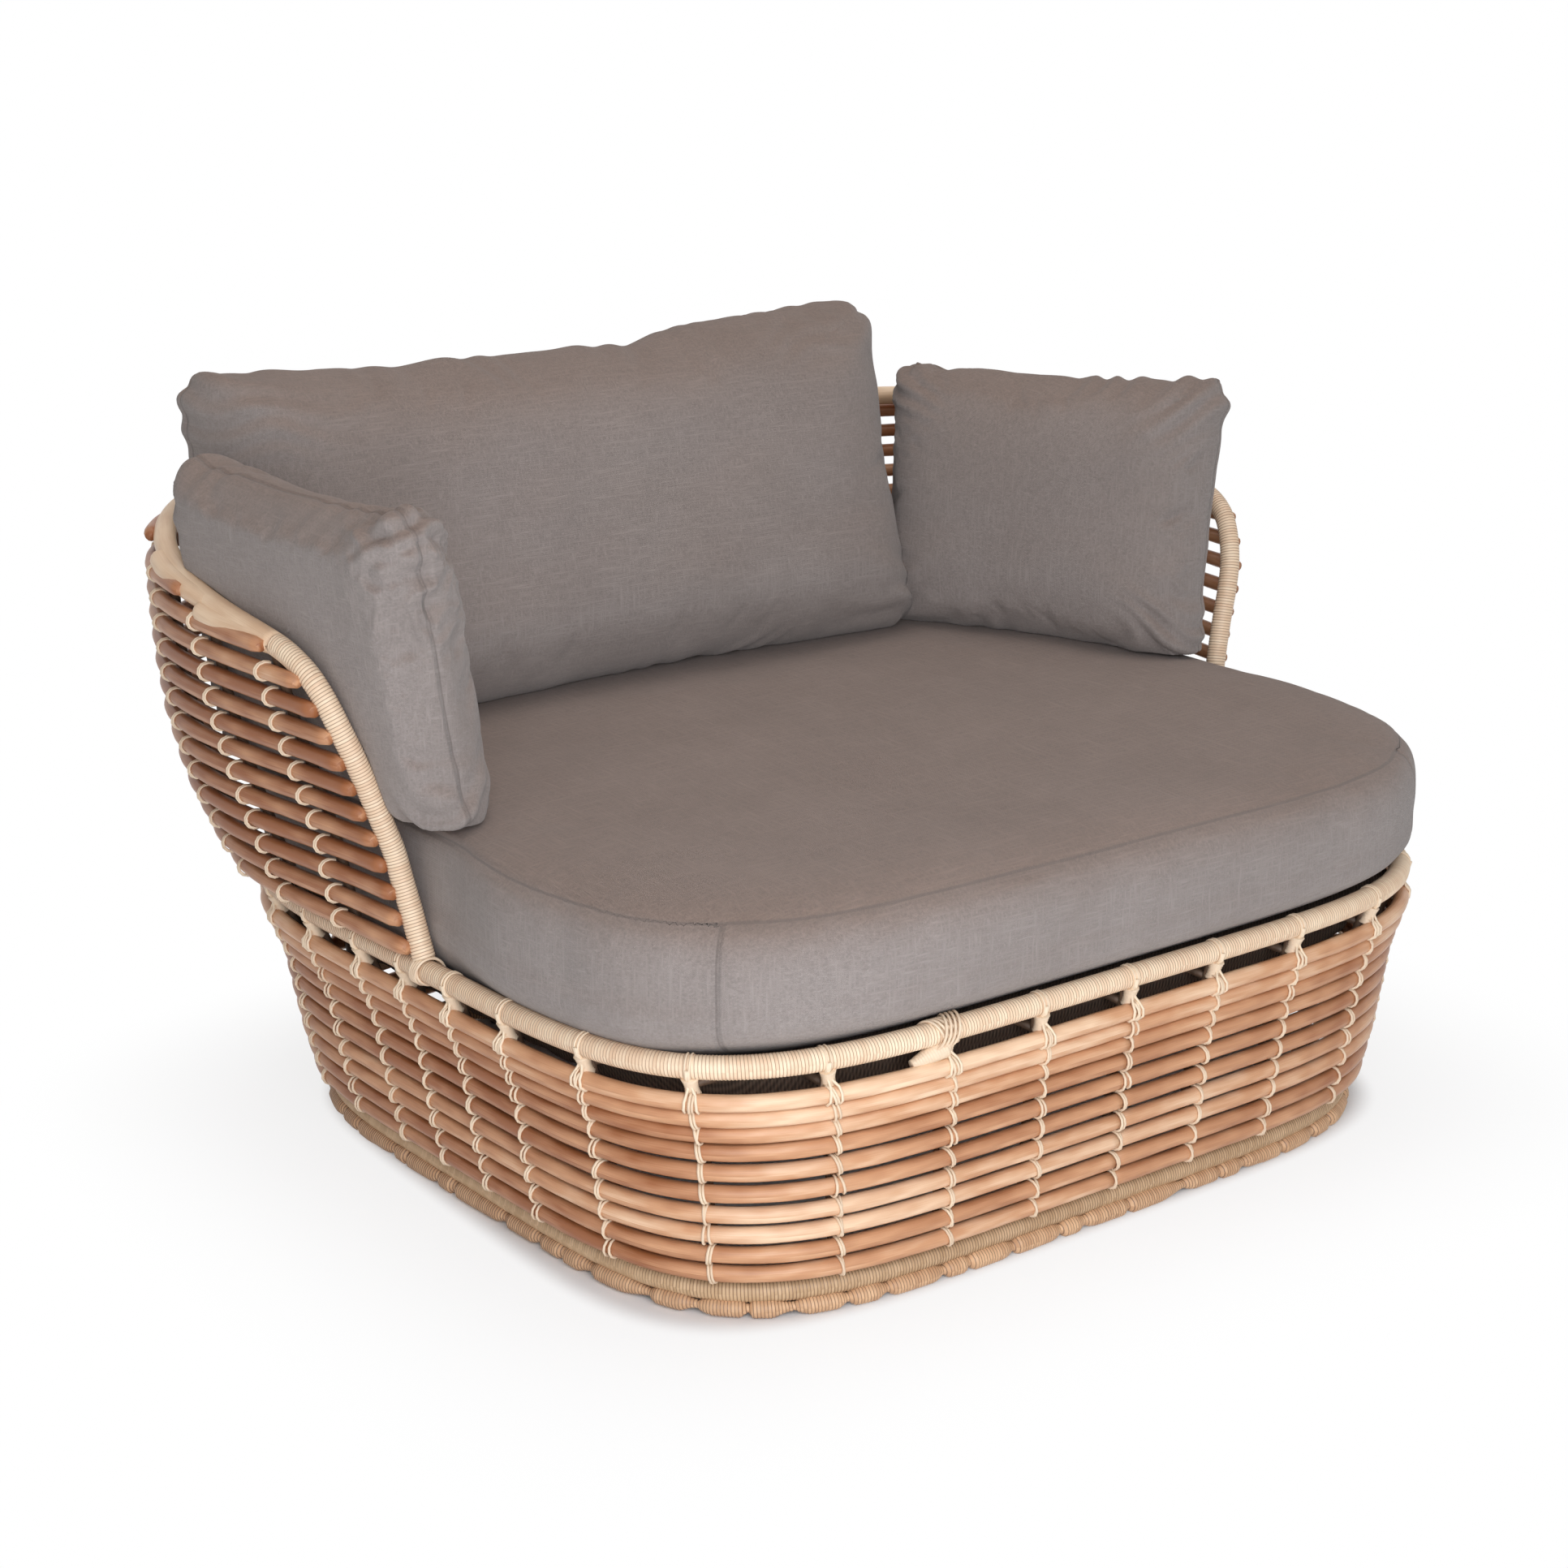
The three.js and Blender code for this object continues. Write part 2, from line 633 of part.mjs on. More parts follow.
// Arm cushions keep their rear ends close in front of the back cushion
const armSize = { width: armWidth, height: armHeight, thickness: armThickness };
function armPlace(x, turn, rearRoom, sitShare) {
  const reach = armWidth / 2 * Math.abs(Math.sin(THREE.MathUtils.degToRad(turn)));
  return { x, y: backPlace.y - rearRoom - reach, lean: armLeanDegrees, tilt: 0, turn, sitShare };
}
const leftPlace = armPlace(leftArmInset - rimHalfWidth, leftTurnDegrees, leftRearRoom, leftSitShare);
const rightPlace = armPlace(rimHalfWidth - rightArmInset, rightTurnDegrees, rightRearRoom, 0);
cushions.add(piece('arm_cushion_left', placedPillow(armSize, leftPlace), 'fabric'));
cushions.add(piece('arm_cushion_right', placedPillow(armSize, rightPlace), 'fabric'));

// Whole chair, set so that its footprint is centred on the origin
const chair = new THREE.Group();
chair.add(base, back, cushions);
const extent = new THREE.Box3().setFromObject(chair);
chair.position.y = -(extent.min.y + extent.max.y) / 2;
chair.updateMatrixWorld(true);

export default chair;
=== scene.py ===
"""Outdoor basket armchair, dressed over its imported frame.

Everything is in metres with +Z up. The sitter faces -Y, and left is -X, as seen from the front.
"""

import logging
import math
from collections.abc import Callable, Sequence
from dataclasses import dataclass, field
from enum import Enum

import bmesh
import bpy
import numpy as np
from bpy.types import Material, Mesh, Node, NodeSocket, NodeTree, Object
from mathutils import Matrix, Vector, noise
from mathutils.bvhtree import BVHTree


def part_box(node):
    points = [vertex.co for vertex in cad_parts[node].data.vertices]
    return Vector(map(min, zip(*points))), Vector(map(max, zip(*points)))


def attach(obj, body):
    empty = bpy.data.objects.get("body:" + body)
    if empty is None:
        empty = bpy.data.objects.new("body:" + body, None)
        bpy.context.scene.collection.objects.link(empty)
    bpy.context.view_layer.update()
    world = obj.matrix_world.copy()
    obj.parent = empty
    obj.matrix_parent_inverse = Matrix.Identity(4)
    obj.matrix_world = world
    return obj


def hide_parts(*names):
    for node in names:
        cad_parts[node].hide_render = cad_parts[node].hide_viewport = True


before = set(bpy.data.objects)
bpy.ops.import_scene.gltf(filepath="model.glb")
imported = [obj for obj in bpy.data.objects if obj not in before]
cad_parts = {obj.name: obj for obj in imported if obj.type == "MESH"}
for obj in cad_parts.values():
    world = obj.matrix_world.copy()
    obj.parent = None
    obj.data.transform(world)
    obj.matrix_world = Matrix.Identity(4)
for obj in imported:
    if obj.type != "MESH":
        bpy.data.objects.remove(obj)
log = logging.getLogger("armchair")

TURN = 2 * math.pi
UP = np.array([0, 0, 1.0])
SHIFT_Y = -0.061302
Radius = float | Callable[[np.ndarray], np.ndarray]


class Body(Enum):
    """The bodies that pieces ride on."""

    FRAME = "frame"
    SEAT = "seat"
    BACK = "back_pillow"
    LEFT = "left_pillow"
    RIGHT = "right_pillow"


class Slot(Enum):
    """The record's material slots."""

    WRAP = "wrap"
    CANE = "cane"
    FRAME = "frame"
    STRAP = "strap"
    FABRIC = "fabric"


class Lash(Enum):
    """How a lashing's two strands pass over a rod: side by side, crossed or forked, or bent as a hook."""

    CROSSED = "crossed"
    HOOKED = "hooked"


# Shapes shared by the pieces


def unit(vectors: np.ndarray) -> np.ndarray:
    """Scales vectors to a length of one."""
    return vectors / np.linalg.norm(vectors, axis=-1, keepdims=True)


def smoothstep(value: np.ndarray, low: float, high: float) -> np.ndarray:
    """Eases from 0 at low to 1 at high."""
    share = np.clip((value - low) / (high - low), 0.0, 1.0)
    return share * share * (3 - 2 * share)


@dataclass(frozen=True)
class Run:
    """A smooth line in space with an outward facing at each of its points.

    Args:
        points: Points along the line, a closed one without its first point again.
        facings: Directions that the line's section faces.
        closed: Whether the line runs back into its start.
    """

    points: np.ndarray
    facings: np.ndarray
    closed: bool = False

    def lengths(self) -> np.ndarray:
        """Length along the line at each point, with the closing one."""
        points = np.vstack([self.points, self.points[:1]]) if self.closed else self.points
        steps = np.linalg.norm(np.diff(points, axis=0), axis=1)
        return np.concatenate([[0.0], np.cumsum(steps)])

    def whole(self) -> float:
        """The line's whole length."""
        return float(self.lengths()[-1])

    def at(self, length: np.ndarray) -> tuple[np.ndarray, np.ndarray]:
        """Places and facings at lengths along the line.

        Args:
            length: Lengths along the line, of any shape.

        Returns:
            Points and facings, with the three coordinates last.
        """
        known = self.lengths()
        turned = np.mod(length, known[-1]) if self.closed else np.clip(length, 0, known[-1])
        tables = []
        for table in (self.points, self.facings):
            table = np.vstack([table, table[:1]]) if self.closed else table
            tables.append(np.stack([np.interp(turned, known, table[:, k]) for k in range(3)], axis=-1))
        return tables[0], tables[1]

    def frames(self, length: np.ndarray) -> tuple[np.ndarray, np.ndarray, np.ndarray, np.ndarray]:
        """Centre, direction, outward and side axes of the section at lengths along the line."""
        whole = self.whole()
        reach = whole * 1e-3
        length = length if self.closed else np.clip(length, 0, whole)
        centre, facing = self.at(length)
        ahead, _ = self.at(length + reach)
        behind, _ = self.at(length - reach)
        along = unit(ahead - behind)
        outward = unit(facing - np.sum(facing * along, axis=-1, keepdims=True) * along)
        return centre, along, outward, np.cross(along, outward)


def skinned(name: str, tables: np.ndarray, spans: tuple[float, float]) -> Object:
    """Wraps a grid round each table of positions, welds its seam and closes its ends.

    Args:
        name: Name of the piece.
        tables: Positions, by tube, ring and corner, the last corner on the first.
        spans: Length and girth of a tube, for its texture places in metres.

    Returns:
        The piece, as one object.
    """
    count, rings, corners, _ = tables.shape
    sheet = bpy.data.meshes.new(name + "_sheet")
    bm = bmesh.new()
    bm.loops.layers.uv.new("UVMap")
    bmesh.ops.create_grid(bm, x_segments=rings - 1, y_segments=corners - 1, size=1, calc_uvs=True)
    bm.to_mesh(sheet)
    bm.clear()
    for _ in range(count):
        bm.from_mesh(sheet)
    mesh = bpy.data.meshes.new(name)
    bm.to_mesh(mesh)
    bm.free()
    bpy.data.meshes.remove(sheet)
    flat = mesh_points(mesh).reshape(count, rings * corners, 3)
    share = (flat[..., :2] - flat[..., :2].min()) / np.ptp(flat[..., :2])
    ring = np.rint(share[..., 0] * (rings - 1)).astype(int)
    corner = np.rint(share[..., 1] * (corners - 1)).astype(int)
    set_points(mesh, tables[np.arange(count)[:, None], ring, corner])
    places = np.empty(len(mesh.loops) * 2, np.float32)
    layer = mesh.uv_layers[0]
    layer.data.foreach_get("uv", places)
    layer.data.foreach_set("uv", (places.reshape(-1, 2) * np.array(spans, np.float32)).ravel())
    bm = bmesh.new()
    bm.from_mesh(mesh)
    bmesh.ops.remove_doubles(bm, verts=bm.verts, dist=2e-6)
    bmesh.ops.holes_fill(bm, edges=bm.edges, sides=0)
    bmesh.ops.recalc_face_normals(bm, faces=bm.faces)
    bm.to_mesh(mesh)
    bm.free()
    return placed(name, mesh)


def mesh_points(mesh: Mesh) -> np.ndarray:
    """The mesh's points as an array."""
    flat = np.empty(len(mesh.vertices) * 3, np.float32)
    mesh.vertices.foreach_get("co", flat)
    return flat.reshape(-1, 3).astype(float)


def mesh_normals(mesh: Mesh) -> np.ndarray:
    """The mesh's point normals as an array."""
    flat = np.empty(len(mesh.vertices) * 3, np.float32)
    mesh.vertex_normals.foreach_get("vector", flat)
    return flat.reshape(-1, 3).astype(float)


def set_points(mesh: Mesh, points: np.ndarray) -> None:
    """Moves the mesh's points."""
    mesh.vertices.foreach_set("co", np.ascontiguousarray(points, np.float32).ravel())
    mesh.update()


def face_tree(made: Object) -> BVHTree:
    """A piece's faces, ready to be looked up by place."""
    bm = bmesh.new()
    bm.from_mesh(made.data)
    tree = BVHTree.FromBMesh(bm)
    bm.free()
    return tree


def noise_along(points: np.ndarray, scale: float) -> np.ndarray:
    """Smooth noise from -1 to 1 at points, at one scale."""
    return np.array([noise.noise(Vector(spot)) for spot in points * scale])


def placed(name: str, mesh: Mesh) -> Object:
    """Puts a mesh in the scene as a smooth object at the origin."""
    mesh.shade_smooth()
    made = bpy.data.objects.new(name, mesh)
    bpy.context.scene.collection.objects.link(made)
    return made


def toned(made: Object, tone: float | np.ndarray, name: str = "tone") -> None:
    """Writes a shade between 0 and 1 on the piece's points, one value or one for each point."""
    layer = made.data.attributes.new(name, "FLOAT", "POINT")
    values = np.broadcast_to(np.asarray(tone, np.float32), (len(made.data.vertices),))
    layer.data.foreach_set("value", np.ascontiguousarray(values))


def spokes(outward: np.ndarray, side: np.ndarray, sides: int) -> np.ndarray:
    """Directions from the middle of sections to their corners, the last on the first.

    Args:
        outward: The first axis of each section.
        side: The second axis of each section.
        sides: Corners round a section.

    Returns:
        Directions, with the corners before the three coordinates.
    """
    turn = np.linspace(0, TURN, sides + 1)[:, None]
    return np.cos(turn) * outward[..., None, :] + np.sin(turn) * side[..., None, :]


def plain_tube(run: Run, radius: Radius, step: float, sides: int) -> np.ndarray:
    """Positions of a tube's skin.

    Args:
        run: Line that the tube follows.
        radius: Radius, or the radius at each length along.
        step: Length between rings.
        sides: Corners round the section.

    Returns:
        One table of positions, by ring and corner.
    """
    rings = max(2, round(run.whole() / step))
    length = np.linspace(0, run.whole(), rings + 1)
    centre, _, outward, side = run.frames(length)
    size = radius(length)[:, None, None] if callable(radius) else radius
    return centre[:, None, :] + size * spokes(outward, side, sides)


def wound_tube(
    run: Run, radius: Radius, pitch: float, groove: float, sides: int, flat: float = 1.0
) -> np.ndarray:
    """Positions of a tube closely wound with cord, its rings leaning with the turns.

    Args:
        run: Line that the tube follows.
        radius: Radius, or the radius at each length along.
        pitch: Width of one turn of the cord.
        groove: Depth of the valley between turns.
        sides: Corners round the section.
        flat: Share of the radius that the section has across its facing.

    Returns:
        One table of positions, by ring and corner.
    """
    rings_a_turn = 3
    turns = max(1, round(run.whole() / pitch))
    exact = run.whole() / turns
    ring = np.arange(rings_a_turn * turns + 1)
    turn = np.linspace(0, TURN, sides + 1)
    length = (ring[:, None] / rings_a_turn + turn[None, :] / TURN) * exact
    centre, _, outward, side = run.frames(length)
    crest = np.where(ring % rings_a_turn == 0, -groove, 0.0)
    size = (radius(length) if callable(radius) else radius) + crest[:, None]
    spread = np.cos(turn)[None, :, None] * outward + flat * np.sin(turn)[None, :, None] * side
    return centre + size[..., None] * spread


def cord_skins(lines: np.ndarray, facings: np.ndarray, radius: float, sides: int) -> np.ndarray:
    """Positions of the skins of many short cords.

    Args:
        lines: Points along each cord, by cord and point.
        facings: Directions that the sections face, in the same order.
        radius: Radius of the cords.
        sides: Corners round the section.

    Returns:
        Tables of positions, by cord, ring and corner.
    """
    way = unit(np.gradient(lines, axis=1))
    outward = unit(facings - np.sum(facings * way, axis=-1, keepdims=True) * way)
    return lines[..., None, :] + radius * spokes(outward, np.cross(way, outward), sides)


# Materials


NODE_SETTINGS = ("operation", "blend_type", "data_type", "noise_dimensions", "attribute_name")
Colour = tuple[float, float, float]
Group = tuple[NodeTree, Node, Node]


def add_node(tree: NodeTree, kind: str, **inputs: object) -> Node:
    """Adds a node to a tree and sets or links its inputs.

    Args:
        tree: Tree that takes the node.
        kind: The node's type name.
        inputs: Settings by name, and values or sockets by input name, or by _0, _1 where names repeat.

    Returns:
        The new node.
    """
    made = tree.nodes.new(kind)
    for name, value in inputs.items():
        if name in NODE_SETTINGS:
            setattr(made, name, value)
            continue
        key = int(name[1:]) if name[0] == "_" else name
        if isinstance(value, NodeSocket):
            tree.links.new(value, made.inputs[key])
        else:
            made.inputs[key].default_value = value
    return made


def worked(tree: NodeTree, operation: str, *values: object) -> NodeSocket:
    """Adds a piece of arithmetic on values or sockets and gives its result."""
    numbered = {f"_{place}": value for place, value in enumerate(values)}
    return add_node(tree, "ShaderNodeMath", operation=operation, **numbered).outputs[0]


def spanned(
    tree: NodeTree,
    value: NodeSocket,
    reach: tuple[float, float],
    results: tuple[float, float] = (0.0, 1.0),
    smooth: bool = False,
) -> NodeSocket:
    """Maps a value between two limits to results, and holds it outside them.

    Args:
        tree: Tree that takes the node.
        value: The value.
        reach: Its limits.
        results: What the limits become.
        smooth: Whether it eases in and out.

    Returns:
        The result.
    """
    made = add_node(tree, "ShaderNodeMapRange", Value=value)
    if smooth:
        made.interpolation_type = "SMOOTHSTEP"
    for end, limit, result in zip(("Min", "Max"), reach, results):
        made.inputs["From " + end].default_value = limit
        made.inputs["To " + end].default_value = result
    return made.outputs["Result"]


def new_group(name: str, inputs: dict[str, str], outputs: Sequence[str]) -> Group:
    """Starts a shared node group.

    Args:
        name: The group's name.
        inputs: Socket types by input name.
        outputs: Names of its value outputs.

    Returns:
        The tree, its input node and its output node.
    """
    tree = bpy.data.node_groups.new(name, "ShaderNodeTree")
    for label, kind in inputs.items():
        tree.interface.new_socket(label, in_out="INPUT", socket_type=kind)
    for label in outputs:
        tree.interface.new_socket(label, in_out="OUTPUT", socket_type="NodeSocketFloat")
    return tree, tree.nodes.new("NodeGroupInput"), tree.nodes.new("NodeGroupOutput")


def given_out(tree: NodeTree, result: Node, **sockets: NodeSocket) -> NodeTree:
    """Links the results of a group to its output node, and gives the group."""
    for name, socket in sockets.items():
        tree.links.new(socket, result.inputs[name])
    return tree


def fibre_grain() -> NodeTree:
    """Long fibres and blotches that follow a tube's own length: a tone and a height."""
    fibre_scale, patch_scale = (22, 900, 1), (1, 3, 1)
    sockets = {"Vector": "NodeSocketVector"}
    tree, given, result = new_group("fibre_grain", sockets, ("Tone", "Blotch", "Height"))
    place = given.outputs["Vector"]
    fibres = add_node(tree, "ShaderNodeMapping", Vector=place, Scale=fibre_scale)
    streak = add_node(tree, "ShaderNodeTexNoise", Vector=fibres.outputs[0], Scale=1.0, Detail=3.0)
    patch = add_node(tree, "ShaderNodeMapping", Vector=place, Scale=patch_scale)
    blotch = add_node(tree, "ShaderNodeTexNoise", Vector=patch.outputs[0], Scale=14.0, Detail=2.0)
    tone = streak.outputs["Fac"]
    return given_out(tree, result, Tone=tone, Blotch=blotch.outputs["Fac"], Height=tone)


def cloth_weave() -> NodeTree:
    """Plain weave with slubs in space, so that it needs no texture places: a tone and a height."""
    thread, weave_share = 0.0019, 0.16
    along, across = 26, 420
    sockets = {"Vector": "NodeSocketVector"}
    tree, given, result = new_group("cloth_weave", sockets, ("Tone", "Slub", "Height"))
    place = given.outputs["Vector"]
    parts = add_node(tree, "ShaderNodeSeparateXYZ", Vector=place)
    waves = [worked(tree, "SINE", worked(tree, "MULTIPLY", part, TURN / thread)) for part in parts.outputs]
    pairs = ((0, 1), (0, 2), (1, 2))
    first, second, third = (worked(tree, "MULTIPLY", waves[a], waves[b]) for a, b in pairs)
    weave = worked(tree, "ADD", worked(tree, "ADD", first, second), third)
    slubs = []
    for axis in range(3):
        scale = [along if k == axis else across for k in range(3)]
        stretched = add_node(tree, "ShaderNodeMapping", Vector=place, Scale=scale)
        slub = add_node(tree, "ShaderNodeTexNoise", Vector=stretched.outputs[0], Scale=1.0, Detail=2.0)
        slubs.append(slub.outputs["Fac"])
    slub = worked(tree, "MAXIMUM", worked(tree, "MAXIMUM", slubs[0], slubs[1]), slubs[2])
    cloud = add_node(tree, "ShaderNodeTexNoise", Vector=place, Scale=7.0, Detail=3.0)
    raised = worked(tree, "MULTIPLY_ADD", weave, weave_share, slub)
    return given_out(tree, result, Tone=cloud.outputs["Fac"], Slub=slub, Height=raised)


def sewn_line() -> NodeTree:
    """A sewn seam by the distance to it in metres: its thread line and the height of the cloth by it."""
    thread_reach, dip_reach = (0.0004, 0.0014), (0.0, 0.0055)
    tree, given, result = new_group("sewn_line", {"Distance": "NodeSocketFloat"}, ("Line", "Height"))
    far = worked(tree, "ABSOLUTE", given.outputs["Distance"])
    line = spanned(tree, far, thread_reach, (1.0, 0.0), smooth=True)
    height = spanned(tree, far, dip_reach, smooth=True)
    return given_out(tree, result, Line=line, Height=height)


def turn_shade() -> NodeTree:
    """Tone of wound cord by its turns, and how deep in a groove a point is, which sets the painted shade of
    the grooves.
    """
    groove_reach = (0.3, 0.5)
    sockets = {"Vector": "NodeSocketVector", "Turns": "NodeSocketFloat"}
    tree, given, result = new_group("turn_shade", sockets, ("Tone", "Groove"))
    parts = add_node(tree, "ShaderNodeSeparateXYZ", Vector=given.outputs["Vector"])
    count = worked(tree, "MULTIPLY", parts.outputs[0], given.outputs["Turns"])
    number = worked(tree, "FLOOR", count)
    tone = add_node(tree, "ShaderNodeTexWhiteNoise", noise_dimensions="1D", W=number)
    far = worked(tree, "ABSOLUTE", worked(tree, "SUBTRACT", worked(tree, "FRACT", count), 0.5))
    groove = spanned(tree, far, groove_reach)
    return given_out(tree, result, Tone=tone.outputs["Value"], Groove=groove)


class Shader:
    """A material whose nodes are added one at a time in front of its Principled shader."""

    groups: dict[str, NodeTree] = {}

    def __init__(self, name: str, roughness: float) -> None:
        """Starts a material with one roughness."""
        self.material = bpy.data.materials.new(name)
        self.material.use_nodes = True
        self.tree = self.material.node_tree
        self.surface = self.tree.nodes["Principled BSDF"]
        self.set("Roughness", roughness)

    def set(self, name: str, value: object) -> None:
        """Sets a plain value on the surface's own socket."""
        self.surface.inputs[name].default_value = value

    def node(self, kind: str, **inputs: object) -> Node:
        """Adds a node and sets or links its inputs by name."""
        return add_node(self.tree, kind, **inputs)

    def group(self, maker: Callable[[], NodeTree], **inputs: object) -> dict[str, NodeSocket]:
        """Puts in a shared group, made where it is its first use.

        Args:
            maker: Function that makes the group.
            inputs: Values or sockets by input name.

        Returns:
            The group's outputs by name.
        """
        if maker.__name__ not in self.groups:
            self.groups[maker.__name__] = maker()
        used = self.tree.nodes.new("ShaderNodeGroup")
        used.node_tree = self.groups[maker.__name__]
        for name, value in inputs.items():
            if isinstance(value, NodeSocket):
                self.tree.links.new(value, used.inputs[name])
            else:
                used.inputs[name].default_value = value
        return {socket.name: socket for socket in used.outputs}

    def along(self) -> NodeSocket:
        """Texture places along and round a tube, in metres."""
        return self.node("ShaderNodeUVMap").outputs["UV"]

    def in_space(self) -> NodeSocket:
        """Places in the object's own space."""
        return self.node("ShaderNodeTexCoord").outputs["Object"]

    def written(self, name: str) -> NodeSocket:
        """A value that is written on the piece's points."""
        return self.node("ShaderNodeAttribute", attribute_name=name).outputs["Fac"]

    def work(self, operation: str, *values: object) -> NodeSocket:
        """Adds a piece of arithmetic and gives its result."""
        return worked(self.tree, operation, *values)

    def span(self, value: NodeSocket, reach: tuple[float, float]) -> NodeSocket:
        """Maps a value between two limits to 0 and 1."""
        return spanned(self.tree, value, reach)

    def noise(self, place: NodeSocket, scale: float, detail: float) -> NodeSocket:
        """Adds smooth noise and gives its value."""
        return self.node("ShaderNodeTexNoise", Vector=place, Scale=scale, Detail=detail).outputs["Fac"]

    def ramp(self, share: NodeSocket, *stops: tuple[float, Colour]) -> NodeSocket:
        """Adds a colour ramp over stops, which are places and their colours."""
        made = self.tree.nodes.new("ShaderNodeValToRGB")
        bar = made.color_ramp
        while len(bar.elements) < len(stops):
            bar.elements.new(0.5)
        for element, (place, colour) in zip(bar.elements, stops):
            element.position = place
            element.color = (*colour, 1)
        self.tree.links.new(share, made.inputs["Fac"])
        return made.outputs["Color"]

    def mix(self, share: object, low: object, high: object, blend: str = "MIX") -> NodeSocket:
        """Adds a mix of two colours by a share."""
        made = self.node("ShaderNodeMix", data_type="RGBA", blend_type=blend, _0=share, _6=low, _7=high)
        return made.outputs[2]

    def shape(self, height: NodeSocket, depth: float, strength: float = 1.0) -> Node:
        """Bumps the surface by a height, whose full range stands for a depth in metres."""
        bump = self.node("ShaderNodeBump", Height=height, Distance=depth, Strength=strength)
        self.tree.links.new(bump.outputs["Normal"], self.surface.inputs["Normal"])
        return bump

    def paint(self, colour: NodeSocket) -> None:
        """Links the surface colour."""
        self.tree.links.new(colour, self.surface.inputs["Base Color"])


@dataclass(frozen=True)
class CaneFinish:
    """Cane that is split and lacquered: blotched along its length, from pale straw to chestnut."""

    name: str = "lacquered_cane"
    dark: Colour = (0.35, 0.128, 0.050)
    middle: Colour = (0.64, 0.335, 0.178)
    pale: Colour = (0.95, 0.70, 0.48)
    blotch_weight: float = 1.5
    fibre_weight: float = 0.35
    tones: tuple[float, float] = (0.75, 1.95)
    roughness: float = 0.4
    coat: float = 0.10
    coat_roughness: float = 0.3
    specular: float = 0.35

    def material(self) -> Material:
        """Builds the cane's material."""
        shader = Shader(self.name, self.roughness)
        grain = shader.group(fibre_grain, Vector=shader.along())
        # The written tone also carries painted shade at the rods' sides and painted light at a front corner.
        blotched = shader.work("MULTIPLY_ADD", grain["Blotch"], self.blotch_weight, shader.written("tone"))
        fine = shader.work("MULTIPLY_ADD", grain["Tone"], self.fibre_weight, blotched)
        spread = shader.span(fine, self.tones)
        shader.paint(shader.ramp(spread, (0.0, self.dark), (0.5, self.middle), (1.0, self.pale)))
        shader.set("Coat Weight", self.coat)
        shader.set("Coat Roughness", self.coat_roughness)
        shader.set("Specular IOR Level", self.specular)
        shader.shape(grain["Height"], 0.0003, 0.6)
        return shader.material


@dataclass(frozen=True)
class WoundFinish:
    """Tube closely wound with cane cord, with painted shade that makes its grooves darker than its crests.
    """

    name: str = "wound_cord"
    crest: Colour = (0.95, 0.76, 0.55)
    shade: Colour = (0.82, 0.58, 0.39)
    # Painted shade in the grooves between the cord's turns.
    groove: Colour = (0.34, 0.19, 0.11)
    turn_weight: float = 0.5
    tones: tuple[float, float] = (0.4, 1.1)
    pitch: float = 0.0034
    roughness: float = 0.5

    def material(self) -> Material:
        """Builds the winding's material."""
        shader = Shader(self.name, self.roughness)
        places = shader.along()
        turns = shader.group(turn_shade, Vector=places, Turns=1 / self.pitch)
        grain = shader.group(fibre_grain, Vector=places)
        blend = shader.work("MULTIPLY_ADD", turns["Tone"], self.turn_weight, grain["Blotch"])
        body = shader.ramp(shader.span(blend, self.tones), (0.0, self.shade), (1.0, self.crest))
        # Painted shade: the groove mask darkens the grooves toward the groove colour.
        shader.paint(shader.mix(turns["Groove"], body, (*self.groove, 1)))
        shader.shape(grain["Height"], 0.0003, 0.5)
        return shader.material


@dataclass(frozen=True)
class PeelFinish:
    """Smooth cane skin laid along the upper rail: beige, with long fibres and soft blotches."""

    name: str = "cane_skin"
    pale: Colour = (0.90, 0.67, 0.46)
    shade: Colour = (0.72, 0.47, 0.29)
    fibre_weight: float = 0.4
    roughness: float = 0.42

    def material(self) -> Material:
        """Builds the skin's material."""
        shader = Shader(self.name, self.roughness)
        grain = shader.group(fibre_grain, Vector=shader.along())
        mixed = shader.work("MULTIPLY_ADD", grain["Tone"], self.fibre_weight, grain["Blotch"])
        shader.paint(shader.ramp(mixed, (0.5, self.shade), (0.9, self.pale)))
        shader.shape(grain["Height"], 0.0004, 0.6)
        return shader.material


@dataclass(frozen=True)
class LashFinish:
    """Waxed cord of the lashings, pale with a warm shadow side."""

    name: str = "lashing_cord"
    pale: Colour = (0.88, 0.71, 0.52)
    dark: Colour = (0.66, 0.46, 0.31)
    fibre_weight: float = 0.5
    roughness: float = 0.5

    def material(self) -> Material:
        """Builds the cord's material."""
        shader = Shader(self.name, self.roughness)
        grain = shader.group(fibre_grain, Vector=shader.along())
        mixed = shader.work("MULTIPLY_ADD", grain["Tone"], self.fibre_weight, shader.written("tone"))
        shader.paint(shader.ramp(mixed, (0.1, self.dark), (1.0, self.pale)))
        shader.shape(grain["Height"], 0.0004, 0.6)
        return shader.material


@dataclass(frozen=True)
class FrameFinish:
    """Brown powder coat of the ribs and bars, with a fine orange peel and worn spots."""

    name: str = "brown_coat"
    coat: Colour = (0.12, 0.072, 0.045)
    worn: Colour = (0.24, 0.15, 0.095)
    peel_scale: float = 1400.0
    spot_scale: float = 60.0
    roughness: float = 0.5

    def material(self) -> Material:
        """Builds the coat's material."""
        shader = Shader(self.name, self.roughness)
        places = shader.in_space()
        peel = shader.noise(places, self.peel_scale, 1.0)
        spots = shader.noise(places, self.spot_scale, 4.0)
        shader.paint(shader.ramp(spots, (0.45, self.coat), (0.72, self.worn)))
        shader.shape(peel, 0.0002, 0.4)
        return shader.material


